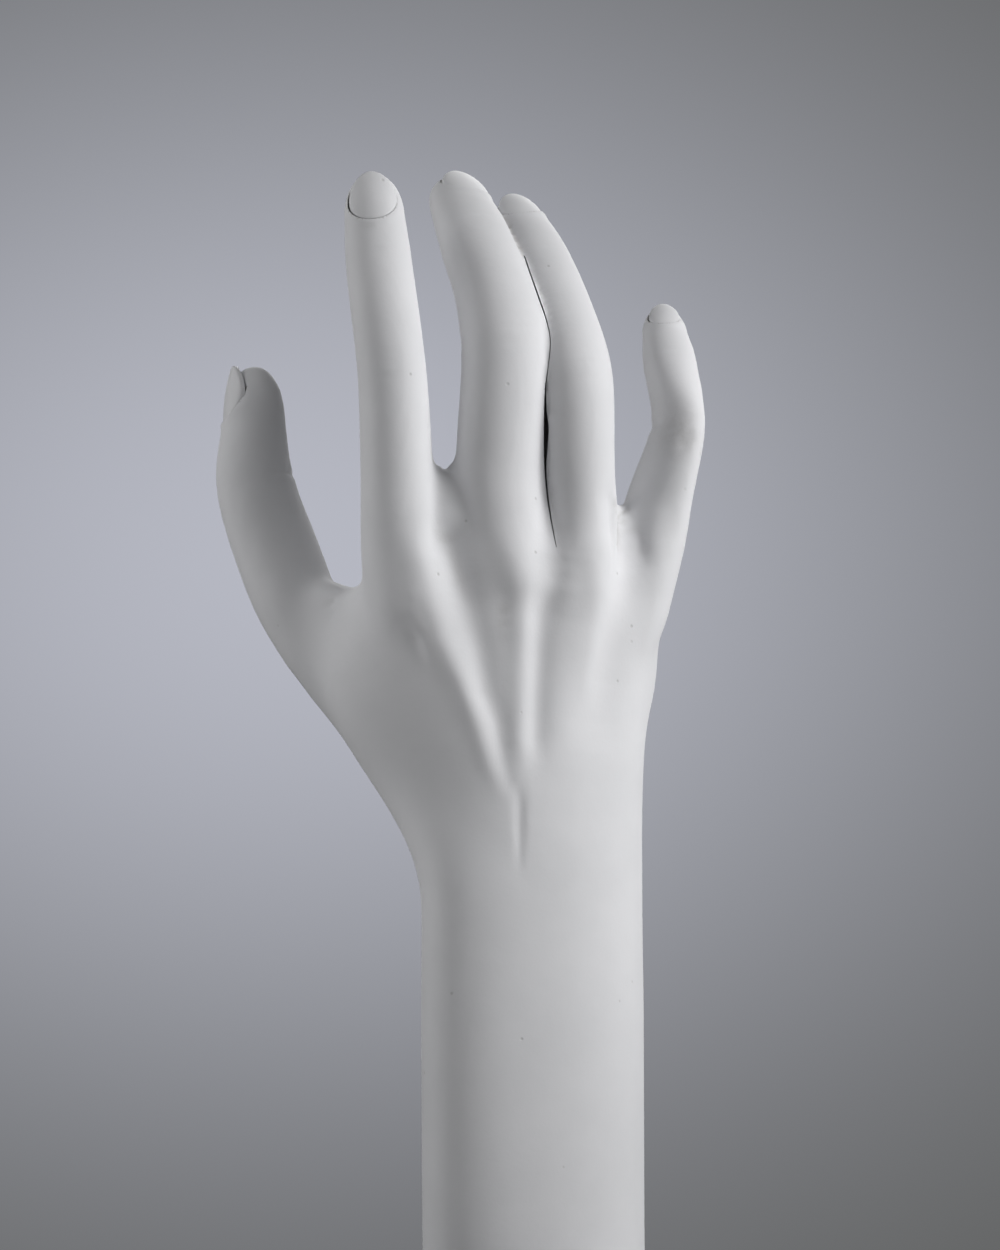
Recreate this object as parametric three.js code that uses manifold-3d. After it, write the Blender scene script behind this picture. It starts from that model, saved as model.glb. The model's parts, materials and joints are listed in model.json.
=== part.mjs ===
// Hand sculpture: a life-size right hand on its forearm, cast in white plaster round a wire armature.
// Millimetres and degrees. +Z is up, the back of the hand faces -Y and the thumb is on the -X side.
// The origin is the middle of the felt foot's flat underside.
import * as THREE from "three";
import { mergeVertices } from "three/addons/utils/BufferGeometryUtils.js";
import Module from "manifold-3d";

const wasm = await Module();
wasm.setup();

// Clearance that glue, or the plaster's shrinkage, leaves round each piece that is set in.
const SET_IN_GAP = 0.3;

// Felt foot
const FELT_THICKNESS = 2;
const FELT_MARGIN = 2.5;

// Forearm and wrist
const FOREARM_HEIGHT = 131;
const FOREARM_WIDTH = 54.2;
const FOREARM_DEPTH = 47;
const WRIST_WIDTH = 54.6;
const WRIST_DEPTH = 41;
const WRIST_SHIFT = -0.6;

// Above its foot the forearm is turned: its back comes forward on the thumb's side by this share of the
// distance across, in full from this far above the foot.
const FOREARM_TURN = 0.26;
const FOREARM_TURN_RISE = 45;

// Flare of the palm to the thumb's side, with the heights over the wrist where it rises and where it ends.
const THUMB_FLARE = 19.3;
const FLARE_RISE = { from: -11.3, to: 36.7 };
const FLARE_FALL = { from: 39.7, to: 70.7 };

// On the thumb's side of the index finger's tendon the hand falls away to the palm's side by this share of
// the distance, after an easing length, with the heights over the wrist where the fall rises and ends.
const THUMB_FALL = 0.45;
const FALL_EASE = 6;
const FALL_RISE = { from: -10, to: 20 };
const FALL_END = { from: 57, to: 72 };

// Palm and the webs between the fingers
const KNUCKLE_DEPTH = 28;
const PALM_SHIFT = 2;
const PALM_HOLLOW = 4;
const WEB_RISE = 31;
const WEB_FALL = 12;
const WEB_DEPTH = 12;
const WEB_SHIFT = -1.5;
const WEB_NARROW = 6;
const WEB_EDGE = 5;

// Digits. Each knuckle is placed from the middle of the wrist: across to the little finger's side, back to
// the palm's side, and up. A bone's lean tips it to the little finger's side, and its flex to the palm.
// Breadths and depths are at the knuckle, halfway up the first bone, the second joint, halfway up the second
// bone, the last joint and the root of the nail. There the shifts move the flesh to the little finger's side
// of its bones. Turn rolls the nail to the little finger's side.
const DIGITS = {
  thumb: {
    knuckle: { across: -25, back: 8, up: 13.5 },
    turn: -76,
    bones: [
      { length: 51, lean: -39, flex: 9 },
      { length: 40.5, lean: -18, flex: 9 },
      { length: 30.5, lean: -3, flex: 11 },
    ],
    breadths: [22, 23, 22, 20.5, 19.5, 17],
    depths: [17, 17.5, 20.3, 21.5, 20, 16],
    shifts: [1, 2.2, 1.5, 1, -0.2, 0.5],
    nail: { width: 13, length: 15 },
  },
  index: {
    knuckle: { across: -29.4, back: -6, up: 63 },
    turn: 0,
    bones: [
      { length: 55.2, lean: -4.9, flex: -7 },
      { length: 26, lean: -7, flex: 4 },
      { length: 21.1, lean: -5, flex: 9 },
    ],
    breadths: [23, 17.8, 16.6, 16.4, 16, 14.6],
    depths: [26, 19, 17.5, 16, 15, 13],
    shifts: [0, 0, 0, 0, 0, 0],
    nail: { width: 11.5, length: 12.6 },
  },
  middle: {
    knuckle: { across: -6.4, back: -4, up: 65.5 },
    turn: 22,
    bones: [
      { length: 58.6, lean: 0, flex: -1 },
      { length: 31.1, lean: -16, flex: 27 },
      { length: 24, lean: -18, flex: 49 },
    ],
    breadths: [23, 21.4, 21.7, 19, 18.3, 17],
    depths: [28, 20.5, 20.5, 18, 16, 13],
    shifts: [0, -1.5, -0.4, -0.2, -0.2, -0.3],
    nail: { width: 12, length: 12.5 },
  },
  ring: {
    knuckle: { across: 12.8, back: -1, up: 65 },
    turn: 24,
    bones: [
      { length: 51, lean: -2.5, flex: -3 },
      { length: 33, lean: -15, flex: 29 },
      { length: 26, lean: -28, flex: 41 },
    ],
    breadths: [19.5, 17.8, 18.3, 17, 16, 14],
    depths: [27, 19, 18.5, 16.5, 14.5, 12],
    shifts: [-1, -1.8, -0.4, -0.8, -0.8, -0.2],
    nail: { width: 10.5, length: 11.5 },
  },
  little: {
    knuckle: { across: 28.5, back: 8, up: 60 },
    turn: 4,
    bones: [
      { length: 44, lean: 10, flex: 3 },
      { length: 19, lean: -8, flex: 25 },
      { length: 18.5, lean: -6, flex: 40 },
    ],
    breadths: [16.5, 15, 13.2, 13.2, 13.4, 11.4],
    depths: [22, 16, 14.5, 12.6, 11.5, 9.5],
    shifts: [-3, -0.4, 0, 0.3, 0.6, 0.5],
    nail: { width: 7.6, length: 9 },
  },
};

// Muscle pads: ellipsoids along a line between two bones, at a share of it, then moved across and back.
const THUMB_PAD = { share: 0.4, across: 7, back: 3, width: 28, depth: 26, length: 62 };
const FORK_PAD = { share: 0.33, across: 0, back: 0, width: 16, depth: 14, length: 40 };
const LITTLE_PAD = { share: 0.4, across: 1, back: 8, width: 26, depth: 24, length: 74 };

// Tendons on the back of the hand
const TENDON_WIDTH = 7;
const TENDON_PROUD = 1.6;
const TENDON_SINK = 1;
const TENDON_OFFSET = 5.5;
const TENDON_MEET = { across: -2.5, up: 10 };

// Nails
const NAIL_PITCH = 8;
const NAIL_THICKNESS = 1.3;
const NAIL_PROUD = 0.3;
const NAIL_END_DROP = 0.6;

// Armature
const ROD_DIAMETER = 8;
const ROD_ABOVE_SLEEVE = 2;
const WIRE_DIAMETER = 2.5;
const WIRE_SHORT_OF_TIP = 9;
const WIRE_BELOW_SLEEVE = 5;
const WIRE_FAN_ABOVE_SLEEVE = 4;
const BUNDLE_FIRST_ANGLE = 170;
const BUNDLE_STEP_ANGLE = 46.25;
const SLEEVE_WALL = 1.4;
const SLEEVE_LENGTH = 10;
const SLEEVE_SPACING = 14;
const SLEEVE_BELOW_WRIST = 8;

// Anchor in the recess under the forearm
const RECESS_HEIGHT = 16;
const RECESS_WALL = 5.2;
const PLATE_THICKNESS = 4;
const NUT_WALL = 2.5;
const NUT_HEIGHT = 6.5;
const WASHER_RIM = 4.5;
const WASHER_THICKNESS = 1.6;

// Facets
const ARM_SIDES = 36;
const DIGIT_SIDES = 14;
const NAIL_SIDES = 14;
const ROUND_SIDES = 24;
const NUT_SIDES = 6;
const TUBE_SIDES = 8;
const WIRE_STEPS = 24;
const PAD_SIDES = 18;
const PAD_RINGS = 12;
const MERGE_TOLERANCE = 1e-4;

const CASTING_FOOT = FELT_THICKNESS + SET_IN_GAP;
const WRIST = new THREE.Vector3(WRIST_SHIFT, 0, CASTING_FOOT + FOREARM_HEIGHT);

const radians = THREE.MathUtils.degToRad;
const lerp = THREE.MathUtils.lerp;
const clamp = THREE.MathUtils.clamp;
const smoothstep = THREE.MathUtils.smoothstep;

// Finishes
const plaster = new THREE.MeshStandardMaterial({ color: 0xe4e4e2, roughness: 0.75, metalness: 0 });
const nailPlaster = new THREE.MeshStandardMaterial({ color: 0xe6e6e4, roughness: 0.55, metalness: 0 });
const steel = new THREE.MeshStandardMaterial({ color: 0x9a9da0, roughness: 0.4, metalness: 1 });
const zinc = new THREE.MeshStandardMaterial({ color: 0xb4b8bb, roughness: 0.45, metalness: 1 });
const felt = new THREE.MeshStandardMaterial({ color: 0x4a4d50, roughness: 1, metalness: 0 });

// Solids and geometries

function solidOf(geometry) {
  const bare = geometry.clone();
  bare.deleteAttribute("normal");
  bare.deleteAttribute("uv");
  const merged = mergeVertices(bare, MERGE_TOLERANCE);
  return new wasm.Manifold(
    new wasm.Mesh({
      numProp: 3,
      vertProperties: merged.attributes.position.array,
      triVerts: new Uint32Array(merged.index.array),
    }),
  );
}

function geometryOf(solid) {
  const mesh = solid.getMesh();
  const geometry = new THREE.BufferGeometry();
  geometry.setAttribute("position", new THREE.BufferAttribute(mesh.vertProperties, mesh.numProp));
  geometry.setIndex(new THREE.BufferAttribute(mesh.triVerts, 1));
  geometry.computeVertexNormals();
  return geometry;
}

// A closed skin over a stack of rings that have equally many points, an even number. Each end is closed by a
// strip from one side of its ring to the other, which also fits a ring that is bent.
function loft(rings) {
  const sides = rings[0].length;
  const positions = rings.flat().flatMap((point) => point.toArray());
  const faces = [];
  for (let ring = 0; ring + 1 < rings.length; ring++) {
    for (let side = 0; side < sides; side++) {
      const here = ring * sides + side;
      const next = ring * sides + ((side + 1) % sides);
      faces.push(here, next, here + sides, next, next + sides, here + sides);
    }
  }
  const last = (rings.length - 1) * sides;
  for (let near = 0; near < sides / 2; near++) {
    const far = sides - near;
    const corners = [...new Set([near, near + 1, far - 1, far % sides])];
    for (let i = 1; i + 1 < corners.length; i++) {
      faces.push(corners[0], corners[i + 1], corners[i]);
      faces.push(last + corners[0], last + corners[i], last + corners[i + 1]);
    }
  }
  const geometry = new THREE.BufferGeometry();
  geometry.setAttribute("position", new THREE.Float32BufferAttribute(positions, 3));
  geometry.setIndex(faces);
  return geometry;
}

function polygon(radius, sides) {
  const corners = Array.from({ length: sides }, (_, side) => {
    const angle = (side / sides) * 2 * Math.PI;
    return new THREE.Vector2(radius * Math.cos(angle), radius * Math.sin(angle));
  });
  return new THREE.Shape(corners);
}

// A round tube of the given radius along a curve.
function tube(curve, radius, steps) {
  const section = polygon(radius, TUBE_SIDES);
  return new THREE.ExtrudeGeometry(section, { extrudePath: curve, steps, bevelEnabled: false });
}

// An upright turned piece between two heights, with a bore where its radius is more than zero.
function turned(outer, bore, bottom, top) {
  const profile = [
    new THREE.Vector2(bore, bottom),
    new THREE.Vector2(outer, bottom),
    new THREE.Vector2(outer, top),
    new THREE.Vector2(bore, top),
  ];
  if (bore > 0) profile.push(profile[0].clone());
  return new THREE.LatheGeometry(profile, ROUND_SIDES).rotateX(Math.PI / 2);
}

function curveThrough(points) {
  return new THREE.CatmullRomCurve3(points, false, "centripetal");
}

// Digits: a chain of bones, the flesh round it, and the nail. Stations count bones from the knuckle.

const SIZE_STATIONS = [0, 0.5, 1, 1.5, 2, 2.5];
const ROOT_STATION = -0.45;
const NAIL_ROOT_STATION = 2.5;
const TIP_STATION = 3;
const FLESH_STATIONS = [
  ROOT_STATION, -0.2, 0, 0.2, 0.4, 0.6, 0.8, 0.93, 1.07, 1.25, 1.5, 1.75, 1.95, 2.2,
  NAIL_ROOT_STATION, 2.68, 2.82, 2.92, 2.98,
];
const NAIL_REACHES = [0.35, 0.72, 1];

function boneDirection({ lean, flex }) {
  const direction = new THREE.Vector3(0, 0, 1);
  direction.applyAxisAngle(new THREE.Vector3(-1, 0, 0), radians(flex));
  return direction.applyAxisAngle(new THREE.Vector3(0, 1, 0), radians(lean));
}

class Digit {
  constructor(spec) {
    const { across, back, up } = spec.knuckle;
    const turn = radians(spec.turn);
    this.spec = spec;
    this.joints = [new THREE.Vector3(across, back, up).add(WRIST)];
    for (const bone of spec.bones) {
      this.joints.push(this.joints.at(-1).clone().addScaledVector(boneDirection(bone), bone.length));
    }
    const root = this.joints[0].clone().lerp(WRIST, -ROOT_STATION);
    this.curve = curveThrough([root, ...this.joints]);
    this.breadth = new THREE.CubicInterpolant(SIZE_STATIONS, spec.breadths, 1);
    this.depth = new THREE.CubicInterpolant(SIZE_STATIONS, spec.depths, 1);
    this.shift = new THREE.CubicInterpolant(SIZE_STATIONS, spec.shifts, 1);
    this.nailSide = new THREE.Vector3(Math.sin(turn), -Math.cos(turn), 0);
  }

  // The curve's first span leads from the root to the knuckle.
  curveShare(station) {
    const span = station < 0 ? 1 - station / ROOT_STATION : 1 + station;
    return clamp(span / this.joints.length, 0, 1);
  }

  sizedStation(station) {
    return clamp(station, 0, NAIL_ROOT_STATION);
  }

  centre(station) {
    const point = this.curve.getPoint(this.curveShare(station));
    point.x += this.shift.evaluate(this.sizedStation(station))[0];
    return point;
  }

  frame(station) {
    const along = this.curve.getTangent(this.curveShare(station));
    const dorsal = this.nailSide.clone().projectOnPlane(along).normalize();
    const across = new THREE.Vector3().crossVectors(along, dorsal);
    return { along, dorsal, across };
  }

  halfSizes(station) {
    const sized = this.sizedStation(station);
    const run = clamp((station - NAIL_ROOT_STATION) / (TIP_STATION - NAIL_ROOT_STATION), 0, 1);
    const rounding = Math.sqrt(1 - run * run) / 2;
    return {
      breadth: this.breadth.evaluate(sized)[0] * rounding,
      depth: this.depth.evaluate(sized)[0] * rounding,
    };
  }

  ring(station) {
    const centre = this.centre(station);
    const { dorsal, across } = this.frame(station);
    const { breadth, depth } = this.halfSizes(station);
    return Array.from({ length: DIGIT_SIDES }, (_, side) => {
      const angle = (side / DIGIT_SIDES) * 2 * Math.PI;
      const point = centre.clone().addScaledVector(across, breadth * Math.cos(angle));
      return point.addScaledVector(dorsal, -depth * Math.sin(angle));
    });
  }

  flesh() {
    return loft(FLESH_STATIONS.map((station) => this.ring(station)));
  }

  // An oval plate crowned both ways that ends level with the fingertip. Grow is the clearance of its seat.
  nail(grow = 0) {
    const { width, length } = this.spec.nail;
    const { along, dorsal, across } = this.frame(NAIL_ROOT_STATION);
    const lengthwise = along.clone().applyAxisAngle(across, -radians(NAIL_PITCH));
    const outward = dorsal.clone().applyAxisAngle(across, -radians(NAIL_PITCH));
    const { breadth, depth } = this.halfSizes(NAIL_ROOT_STATION);
    const seat = this.centre(NAIL_ROOT_STATION).addScaledVector(dorsal, depth + NAIL_PROUD);
    const toTip = this.joints.at(-1).clone().sub(seat).dot(lengthwise);
    const middle = seat.addScaledVector(lengthwise, toTip - length / 2);
    const oval = (reach, lift) =>
      Array.from({ length: NAIL_SIDES }, (_, side) => {
        const angle = (side / NAIL_SIDES) * 2 * Math.PI;
        const sideways = reach * Math.cos(angle) * (width / 2 + grow);
        const endways = reach * Math.sin(angle) * (length / 2 + grow);
        const sideDrop = depth * (1 - Math.sqrt(1 - (sideways / breadth) ** 2));
        const endDrop = NAIL_END_DROP * ((2 * endways) / length) ** 2;
        const point = middle.clone().addScaledVector(across, sideways).addScaledVector(lengthwise, endways);
        return point.addScaledVector(outward, lift - sideDrop - endDrop);
      });
    const under = NAIL_REACHES.map((reach) => oval(reach, -NAIL_THICKNESS - grow));
    const over = NAIL_REACHES.map((reach) => oval(reach, grow)).reverse();
    return loft([...under, ...over]);
  }
}

const digits = Object.fromEntries(Object.entries(DIGITS).map(([name, spec]) => [name, new Digit(spec)]));

// Forearm and palm: one skin of bent ovals from the foot to the webs between the fingers.

const KNUCKLE_HEIGHT = digits.middle.joints[0].z;
const PALM_EDGES = {
  thumbSide: digits.index.centre(0).x - digits.index.spec.breadths[0] / 2,
  littleSide: digits.little.centre(0).x + digits.little.spec.breadths[0] / 2,
};
const EDGE_EASE = 2.2;
const DEPTH_EASE = 2;
const WRIST_POWER = 2.4;
const PALM_POWER = 3.2;
const HOLLOW_END = 0.85;
const WEB_THINNING = 0.85;

// How far back the row of knuckles lies at a place across the hand: a parabola through three of them, level
// outside the first and the last.
function knuckleArch(place) {
  const [a, b, c] = [digits.index, digits.middle, digits.little].map((digit) => digit.joints[0]);
  const x = clamp(place, a.x, c.x);
  return (
    (a.y * (x - b.x) * (x - c.x)) / ((a.x - b.x) * (a.x - c.x)) +
    (b.y * (x - a.x) * (x - c.x)) / ((b.x - a.x) * (b.x - c.x)) +
    (c.y * (x - a.x) * (x - b.x)) / ((c.x - a.x) * (c.x - b.x))
  );
}

// The tendons on the back of the hand run from one place above the wrist to the knuckles.
const TENDON_FOOT = new THREE.Vector3(WRIST.x + TENDON_MEET.across, 0, WRIST.z + TENDON_MEET.up);

function tendonHead(digit) {
  return digit.joints[0].clone().add(new THREE.Vector3(TENDON_OFFSET, 0, 0));
}

// How far the hand falls away to the palm's side at a place across it and a height.
function thumbFall(place, height) {
  const head = tendonHead(digits.index);
  const ridge = THREE.MathUtils.mapLinear(height, TENDON_FOOT.z, head.z, TENDON_FOOT.x, head.x);
  const away = Math.max(ridge - place, 0);
  const rise = smoothstep(height - WRIST.z, FALL_RISE.from, FALL_RISE.to);
  const end = smoothstep(height - WRIST.z, FALL_END.from, FALL_END.to);
  return ((THUMB_FALL * away ** 2) / (away + FALL_EASE)) * rise * (1 - end);
}

// How far the palm flares to the thumb's side at a height.
function thumbFlare(height) {
  const rise = smoothstep(height - WRIST.z, FLARE_RISE.from, FLARE_RISE.to);
  const fall = smoothstep(height - WRIST.z, FLARE_FALL.from, FLARE_FALL.to);
  return THUMB_FLARE * rise * (1 - fall);
}

// The section at a height: its edges, its depth, its turn, and its share of the way to palm and to web.
function armSection(height) {
  const forearm = clamp((height - CASTING_FOOT) / FOREARM_HEIGHT, 0, 1);
  const palm = clamp((height - WRIST.z) / (KNUCKLE_HEIGHT - WRIST.z), 0, 1);
  const web = clamp((height - KNUCKLE_HEIGHT) / WEB_RISE, 0, 1);
  const edge = clamp(1 - (KNUCKLE_HEIGHT + WEB_RISE - height) / WEB_EDGE, 0, 1);
  const spread = palm ** EDGE_EASE;
  const half = lerp(FOREARM_WIDTH, WRIST_WIDTH, forearm) / 2;
  const middle = lerp(0, WRIST_SHIFT, forearm);
  const armDepth = lerp(FOREARM_DEPTH, WRIST_DEPTH, forearm ** DEPTH_EASE);
  const webDepth = lerp(lerp(armDepth, KNUCKLE_DEPTH, palm), WEB_DEPTH, web);
  const turned = smoothstep(height - CASTING_FOOT, 0, FOREARM_TURN_RISE) * (1 - palm);
  return {
    left: lerp(middle - half, PALM_EDGES.thumbSide, spread) + WEB_NARROW * web - thumbFlare(height),
    right: lerp(middle + half, PALM_EDGES.littleSide, spread) - WEB_NARROW * web,
    middle,
    depth: webDepth * Math.sqrt(1 - WEB_THINNING * edge ** 2),
    power: lerp(WRIST_POWER, PALM_POWER, palm),
    hollow: PALM_HOLLOW * Math.sin(Math.PI * Math.min(palm, HOLLOW_END)),
    turn: FOREARM_TURN * turned,
    palm,
    web,
  };
}

// A point of that section: share runs across it from -1 to 1, and side is -1 on the back and 1 on the palm.
function armPoint(height, share, side) {
  const { left, right, middle, depth, power, hollow, turn, palm, web } = armSection(height);
  const x = lerp(left, right, (share + 1) / 2);
  const bulge = (1 - Math.abs(share) ** power) ** (1 / power);
  const sunk = side > 0 ? hollow * (1 - share ** 2) ** 2 : 0;
  const arched = palm * (knuckleArch(x) + PALM_SHIFT) + web * WEB_SHIFT;
  const back = arched + turn * (x - middle) + thumbFall(x, height);
  const y = back + (side * depth * bulge) / 2 - sunk;
  return new THREE.Vector3(x, y, height - (web * WEB_FALL * (share + 1)) / 2);
}

function armRing(height) {
  return Array.from({ length: ARM_SIDES }, (_, step) => {
    const angle = (step / ARM_SIDES) * 2 * Math.PI;
    return armPoint(height, Math.cos(angle), step <= ARM_SIDES / 2 ? 1 : -1);
  });
}

const FOREARM_RINGS = 6;
const PALM_RINGS = 9;
const WEB_RISES = [0, 0.3, 0.6, 0.87, 0.94, 0.98, 1];

function heights(bottom, top, count) {
  return Array.from({ length: count }, (_, i) => lerp(bottom, top, i / count));
}

function arm() {
  const forearm = heights(CASTING_FOOT, WRIST.z, FOREARM_RINGS);
  const palm = heights(WRIST.z, KNUCKLE_HEIGHT, PALM_RINGS);
  const web = WEB_RISES.map((rise) => KNUCKLE_HEIGHT + WEB_RISE * rise);
  return loft([...forearm, ...palm, ...web].map(armRing));
}

function pad(start, end, { share, across, back, width, depth, length }) {
  const run = end.clone().sub(start).normalize();
  const centre = start.clone().lerp(end, share).add(new THREE.Vector3(across, back, 0));
  const turn = new THREE.Quaternion().setFromUnitVectors(new THREE.Vector3(0, 0, 1), run);
  const ball = new THREE.SphereGeometry(1, PAD_SIDES, PAD_RINGS).rotateX(Math.PI / 2);
  ball.scale(width / 2, depth / 2, length / 2);
  return ball.applyQuaternion(turn).translate(centre.x, centre.y, centre.z);
}

// Between these stations the skin of the fork joins the thumb to the index finger.
const FORK_THUMB_STATION = 1.2;
const FORK_INDEX_STATION = -0.2;

function pads() {
  const [thumbRoot, thumbKnuckle] = digits.thumb.joints;
  return [
    pad(thumbRoot, thumbKnuckle, THUMB_PAD),
    pad(digits.thumb.centre(FORK_THUMB_STATION), digits.index.centre(FORK_INDEX_STATION), FORK_PAD),
    pad(WRIST, digits.little.joints[0], LITTLE_PAD),
  ];
}

// A tendon lies half sunk on the back of the hand, and sinks in at both ends.
const TENDON_POINTS = 7;
const TENDON_STEPS = 14;
const TENDON_START = 0.12;

function tendon(digit) {
  const head = tendonHead(digit);
  const points = Array.from({ length: TENDON_POINTS }, (_, i) => {
    const run = i / (TENDON_POINTS - 1);
    const { x, z } = TENDON_FOOT.clone().lerp(head, lerp(TENDON_START, 1, run));
    const { left, right } = armSection(z);
    const point = armPoint(z, (2 * (x - left)) / (right - left) - 1, -1);
    point.y += TENDON_WIDTH / 2 + TENDON_SINK - (TENDON_PROUD + TENDON_SINK) * Math.sin(Math.PI * run);
    return point;
  });
  return tube(curveThrough(points), TENDON_WIDTH / 2, TENDON_STEPS);
}

// Armature: a rod up the forearm, a wire in each digit, and two sleeves that bind the wires to the rod.

const ROD_RADIUS = ROD_DIAMETER / 2;
const ROD_BORE = ROD_RADIUS + SET_IN_GAP;
const BUNDLE_RADIUS = ROD_BORE + WIRE_DIAMETER / 2;
const SLEEVE_BORE = BUNDLE_RADIUS + WIRE_DIAMETER / 2 + SET_IN_GAP;
const SLEEVE_OUTER = SLEEVE_BORE + SLEEVE_WALL;
const UPPER_SLEEVE_TOP = WRIST.z - SLEEVE_BELOW_WRIST;
const UPPER_SLEEVE_FOOT = UPPER_SLEEVE_TOP - SLEEVE_LENGTH;
const ROD_TOP = UPPER_SLEEVE_TOP + ROD_ABOVE_SLEEVE;
const LOWER_SLEEVE_FOOT = UPPER_SLEEVE_FOOT - SLEEVE_SPACING - SLEEVE_LENGTH;
const WIRE_FOOT = LOWER_SLEEVE_FOOT - WIRE_BELOW_SLEEVE;

// The wires stand round the rod in the digits' order, from the thumb's to the little finger's.
function wire(name, grow = 0) {
  const digit = digits[name];
  const place = Object.keys(digits).indexOf(name);
  const angle = radians(BUNDLE_FIRST_ANGLE + BUNDLE_STEP_ANGLE * place);
  const bundled = (height) =>
    new THREE.Vector3(BUNDLE_RADIUS * Math.cos(angle), BUNDLE_RADIUS * Math.sin(angle), height);
  const end = TIP_STATION - (WIRE_SHORT_OF_TIP - grow) / digit.spec.bones.at(-1).length;
  const fan = UPPER_SLEEVE_TOP + WIRE_FAN_ABOVE_SLEEVE;
  const low = [WIRE_FOOT - grow, UPPER_SLEEVE_FOOT, UPPER_SLEEVE_TOP, fan].map(bundled);
  const high = [...SIZE_STATIONS.slice(0, -1), end].map((station) => digit.centre(station));
  return tube(curveThrough([...low, ...high]), WIRE_DIAMETER / 2 + grow, WIRE_STEPS);
}

function sleeve(foot) {
  return turned(SLEEVE_OUTER, SLEEVE_BORE, foot, foot + SLEEVE_LENGTH);
}

// A sleeve's seat has no core, so that the bundle runs through it.
function sleeveSeat(foot) {
  return turned(SLEEVE_OUTER + SET_IN_GAP, 0, foot - SET_IN_GAP, foot + SLEEVE_LENGTH + SET_IN_GAP);
}

// Anchor: the rod's threaded foot is clamped through a plate in a recess under the casting.

const RECESS_RADIUS = Math.min(FOREARM_WIDTH, FOREARM_DEPTH) / 2 - RECESS_WALL;
const PLATE_RADIUS = RECESS_RADIUS - SET_IN_GAP;
const RECESS_TOP = CASTING_FOOT + RECESS_HEIGHT;
const PLATE_TOP = RECESS_TOP - SET_IN_GAP;
const PLATE_FOOT = PLATE_TOP - PLATE_THICKNESS;
const WASHER_TOP = PLATE_FOOT - SET_IN_GAP;
const WASHER_FOOT = WASHER_TOP - WASHER_THICKNESS;
const LOWER_NUT_TOP = WASHER_FOOT - SET_IN_GAP;
const LOWER_NUT_FOOT = LOWER_NUT_TOP - NUT_HEIGHT;
const UPPER_NUT_FOOT = RECESS_TOP;
const NUT_FLAT_RADIUS = ROD_BORE + NUT_WALL;

// A hexagon by the radius to the middle of its flats.
function hexagon(flatRadius) {
  return polygon(flatRadius / Math.cos(Math.PI / NUT_SIDES), NUT_SIDES);
}

function nut(foot) {
  const section = hexagon(NUT_FLAT_RADIUS);
  section.holes.push(polygon(ROD_BORE, ROUND_SIDES));
  return new THREE.ExtrudeGeometry(section, { depth: NUT_HEIGHT, bevelEnabled: false }).translate(0, 0, foot);
}

function upperNutSeat() {
  const depth = NUT_HEIGHT + 2 * SET_IN_GAP;
  const section = hexagon(NUT_FLAT_RADIUS + SET_IN_GAP);
  const seat = new THREE.ExtrudeGeometry(section, { depth, bevelEnabled: false });
  return seat.translate(0, 0, UPPER_NUT_FOOT - SET_IN_GAP);
}

function feltFoot() {
  const across = FOREARM_WIDTH / 2 - FELT_MARGIN;
  const deep = FOREARM_DEPTH / 2 - FELT_MARGIN;
  const outline = new THREE.Shape().absellipse(0, 0, across, deep, 0, 2 * Math.PI);
  const options = { depth: FELT_THICKNESS, bevelEnabled: false, curveSegments: ROUND_SIDES };
  return new THREE.ExtrudeGeometry(outline, options);
}

// The casting: all the flesh in one body, less the seats of everything that is set or cast into it.

function casting() {
  const flesh = [
    arm(),
    ...pads(),
    ...Object.values(digits).map((digit) => digit.flesh()),
    ...[digits.index, digits.middle, digits.ring].map(tendon),
  ];
  const seats = [
    ...Object.values(digits).map((digit) => digit.nail(SET_IN_GAP)),
    ...Object.keys(digits).map((name) => wire(name, SET_IN_GAP)),
    sleeveSeat(LOWER_SLEEVE_FOOT),
    sleeveSeat(UPPER_SLEEVE_FOOT),
    turned(ROD_BORE, 0, CASTING_FOOT, ROD_TOP + SET_IN_GAP),
    turned(RECESS_RADIUS, 0, CASTING_FOOT - SET_IN_GAP, RECESS_TOP),
    upperNutSeat(),
  ];
  const body = flesh.map(solidOf).reduce((whole, piece) => whole.add(piece));
  return geometryOf(seats.map(solidOf).reduce((whole, seat) => whole.subtract(seat), body));
}

// The assembly

const sculpture = new THREE.Group();
sculpture.name = "hand_sculpture";

function place(name, geometry, material) {
  const mesh = new THREE.Mesh(geometry, material);
  mesh.name = name;
  sculpture.add(mesh);
}

place("hand_casting", casting(), plaster);
for (const [name, digit] of Object.entries(digits)) {
  place(`${name}_nail`, digit.nail(), nailPlaster);
  place(`${name}_wire`, wire(name), zinc);
}
place("forearm_rod", turned(ROD_RADIUS, 0, LOWER_NUT_FOOT, ROD_TOP), steel);
place("lower_binding_sleeve", sleeve(LOWER_SLEEVE_FOOT), zinc);
place("upper_binding_sleeve", sleeve(UPPER_SLEEVE_FOOT), zinc);
place("anchor_plate", turned(PLATE_RADIUS, ROD_BORE, PLATE_FOOT, PLATE_TOP), steel);
place("anchor_washer", turned(ROD_BORE + WASHER_RIM, ROD_BORE, WASHER_FOOT, WASHER_TOP), zinc);
place("lower_nut", nut(LOWER_NUT_FOOT), zinc);
place("upper_nut", nut(UPPER_NUT_FOOT), zinc);
place("felt_foot", feltFoot(), felt);

export default sculpture;
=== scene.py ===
"""Dresses the hand sculpture: a right hand on its forearm, cast in white plaster, standing on a felt foot.

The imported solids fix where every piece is. The skin is one casting that grows from the same bones as the
solids, is fused and then worked over like clay. Where a class doesn't say otherwise its lengths are millimetres
and its angles degrees, and MM turns millimetres into metres. +Z is up, the back of the hand faces -Y and the
thumb is on the -X side.
"""

import json
import logging
import math
from collections.abc import Callable, Sequence
from dataclasses import dataclass, field
from enum import Enum
from itertools import pairwise

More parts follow.
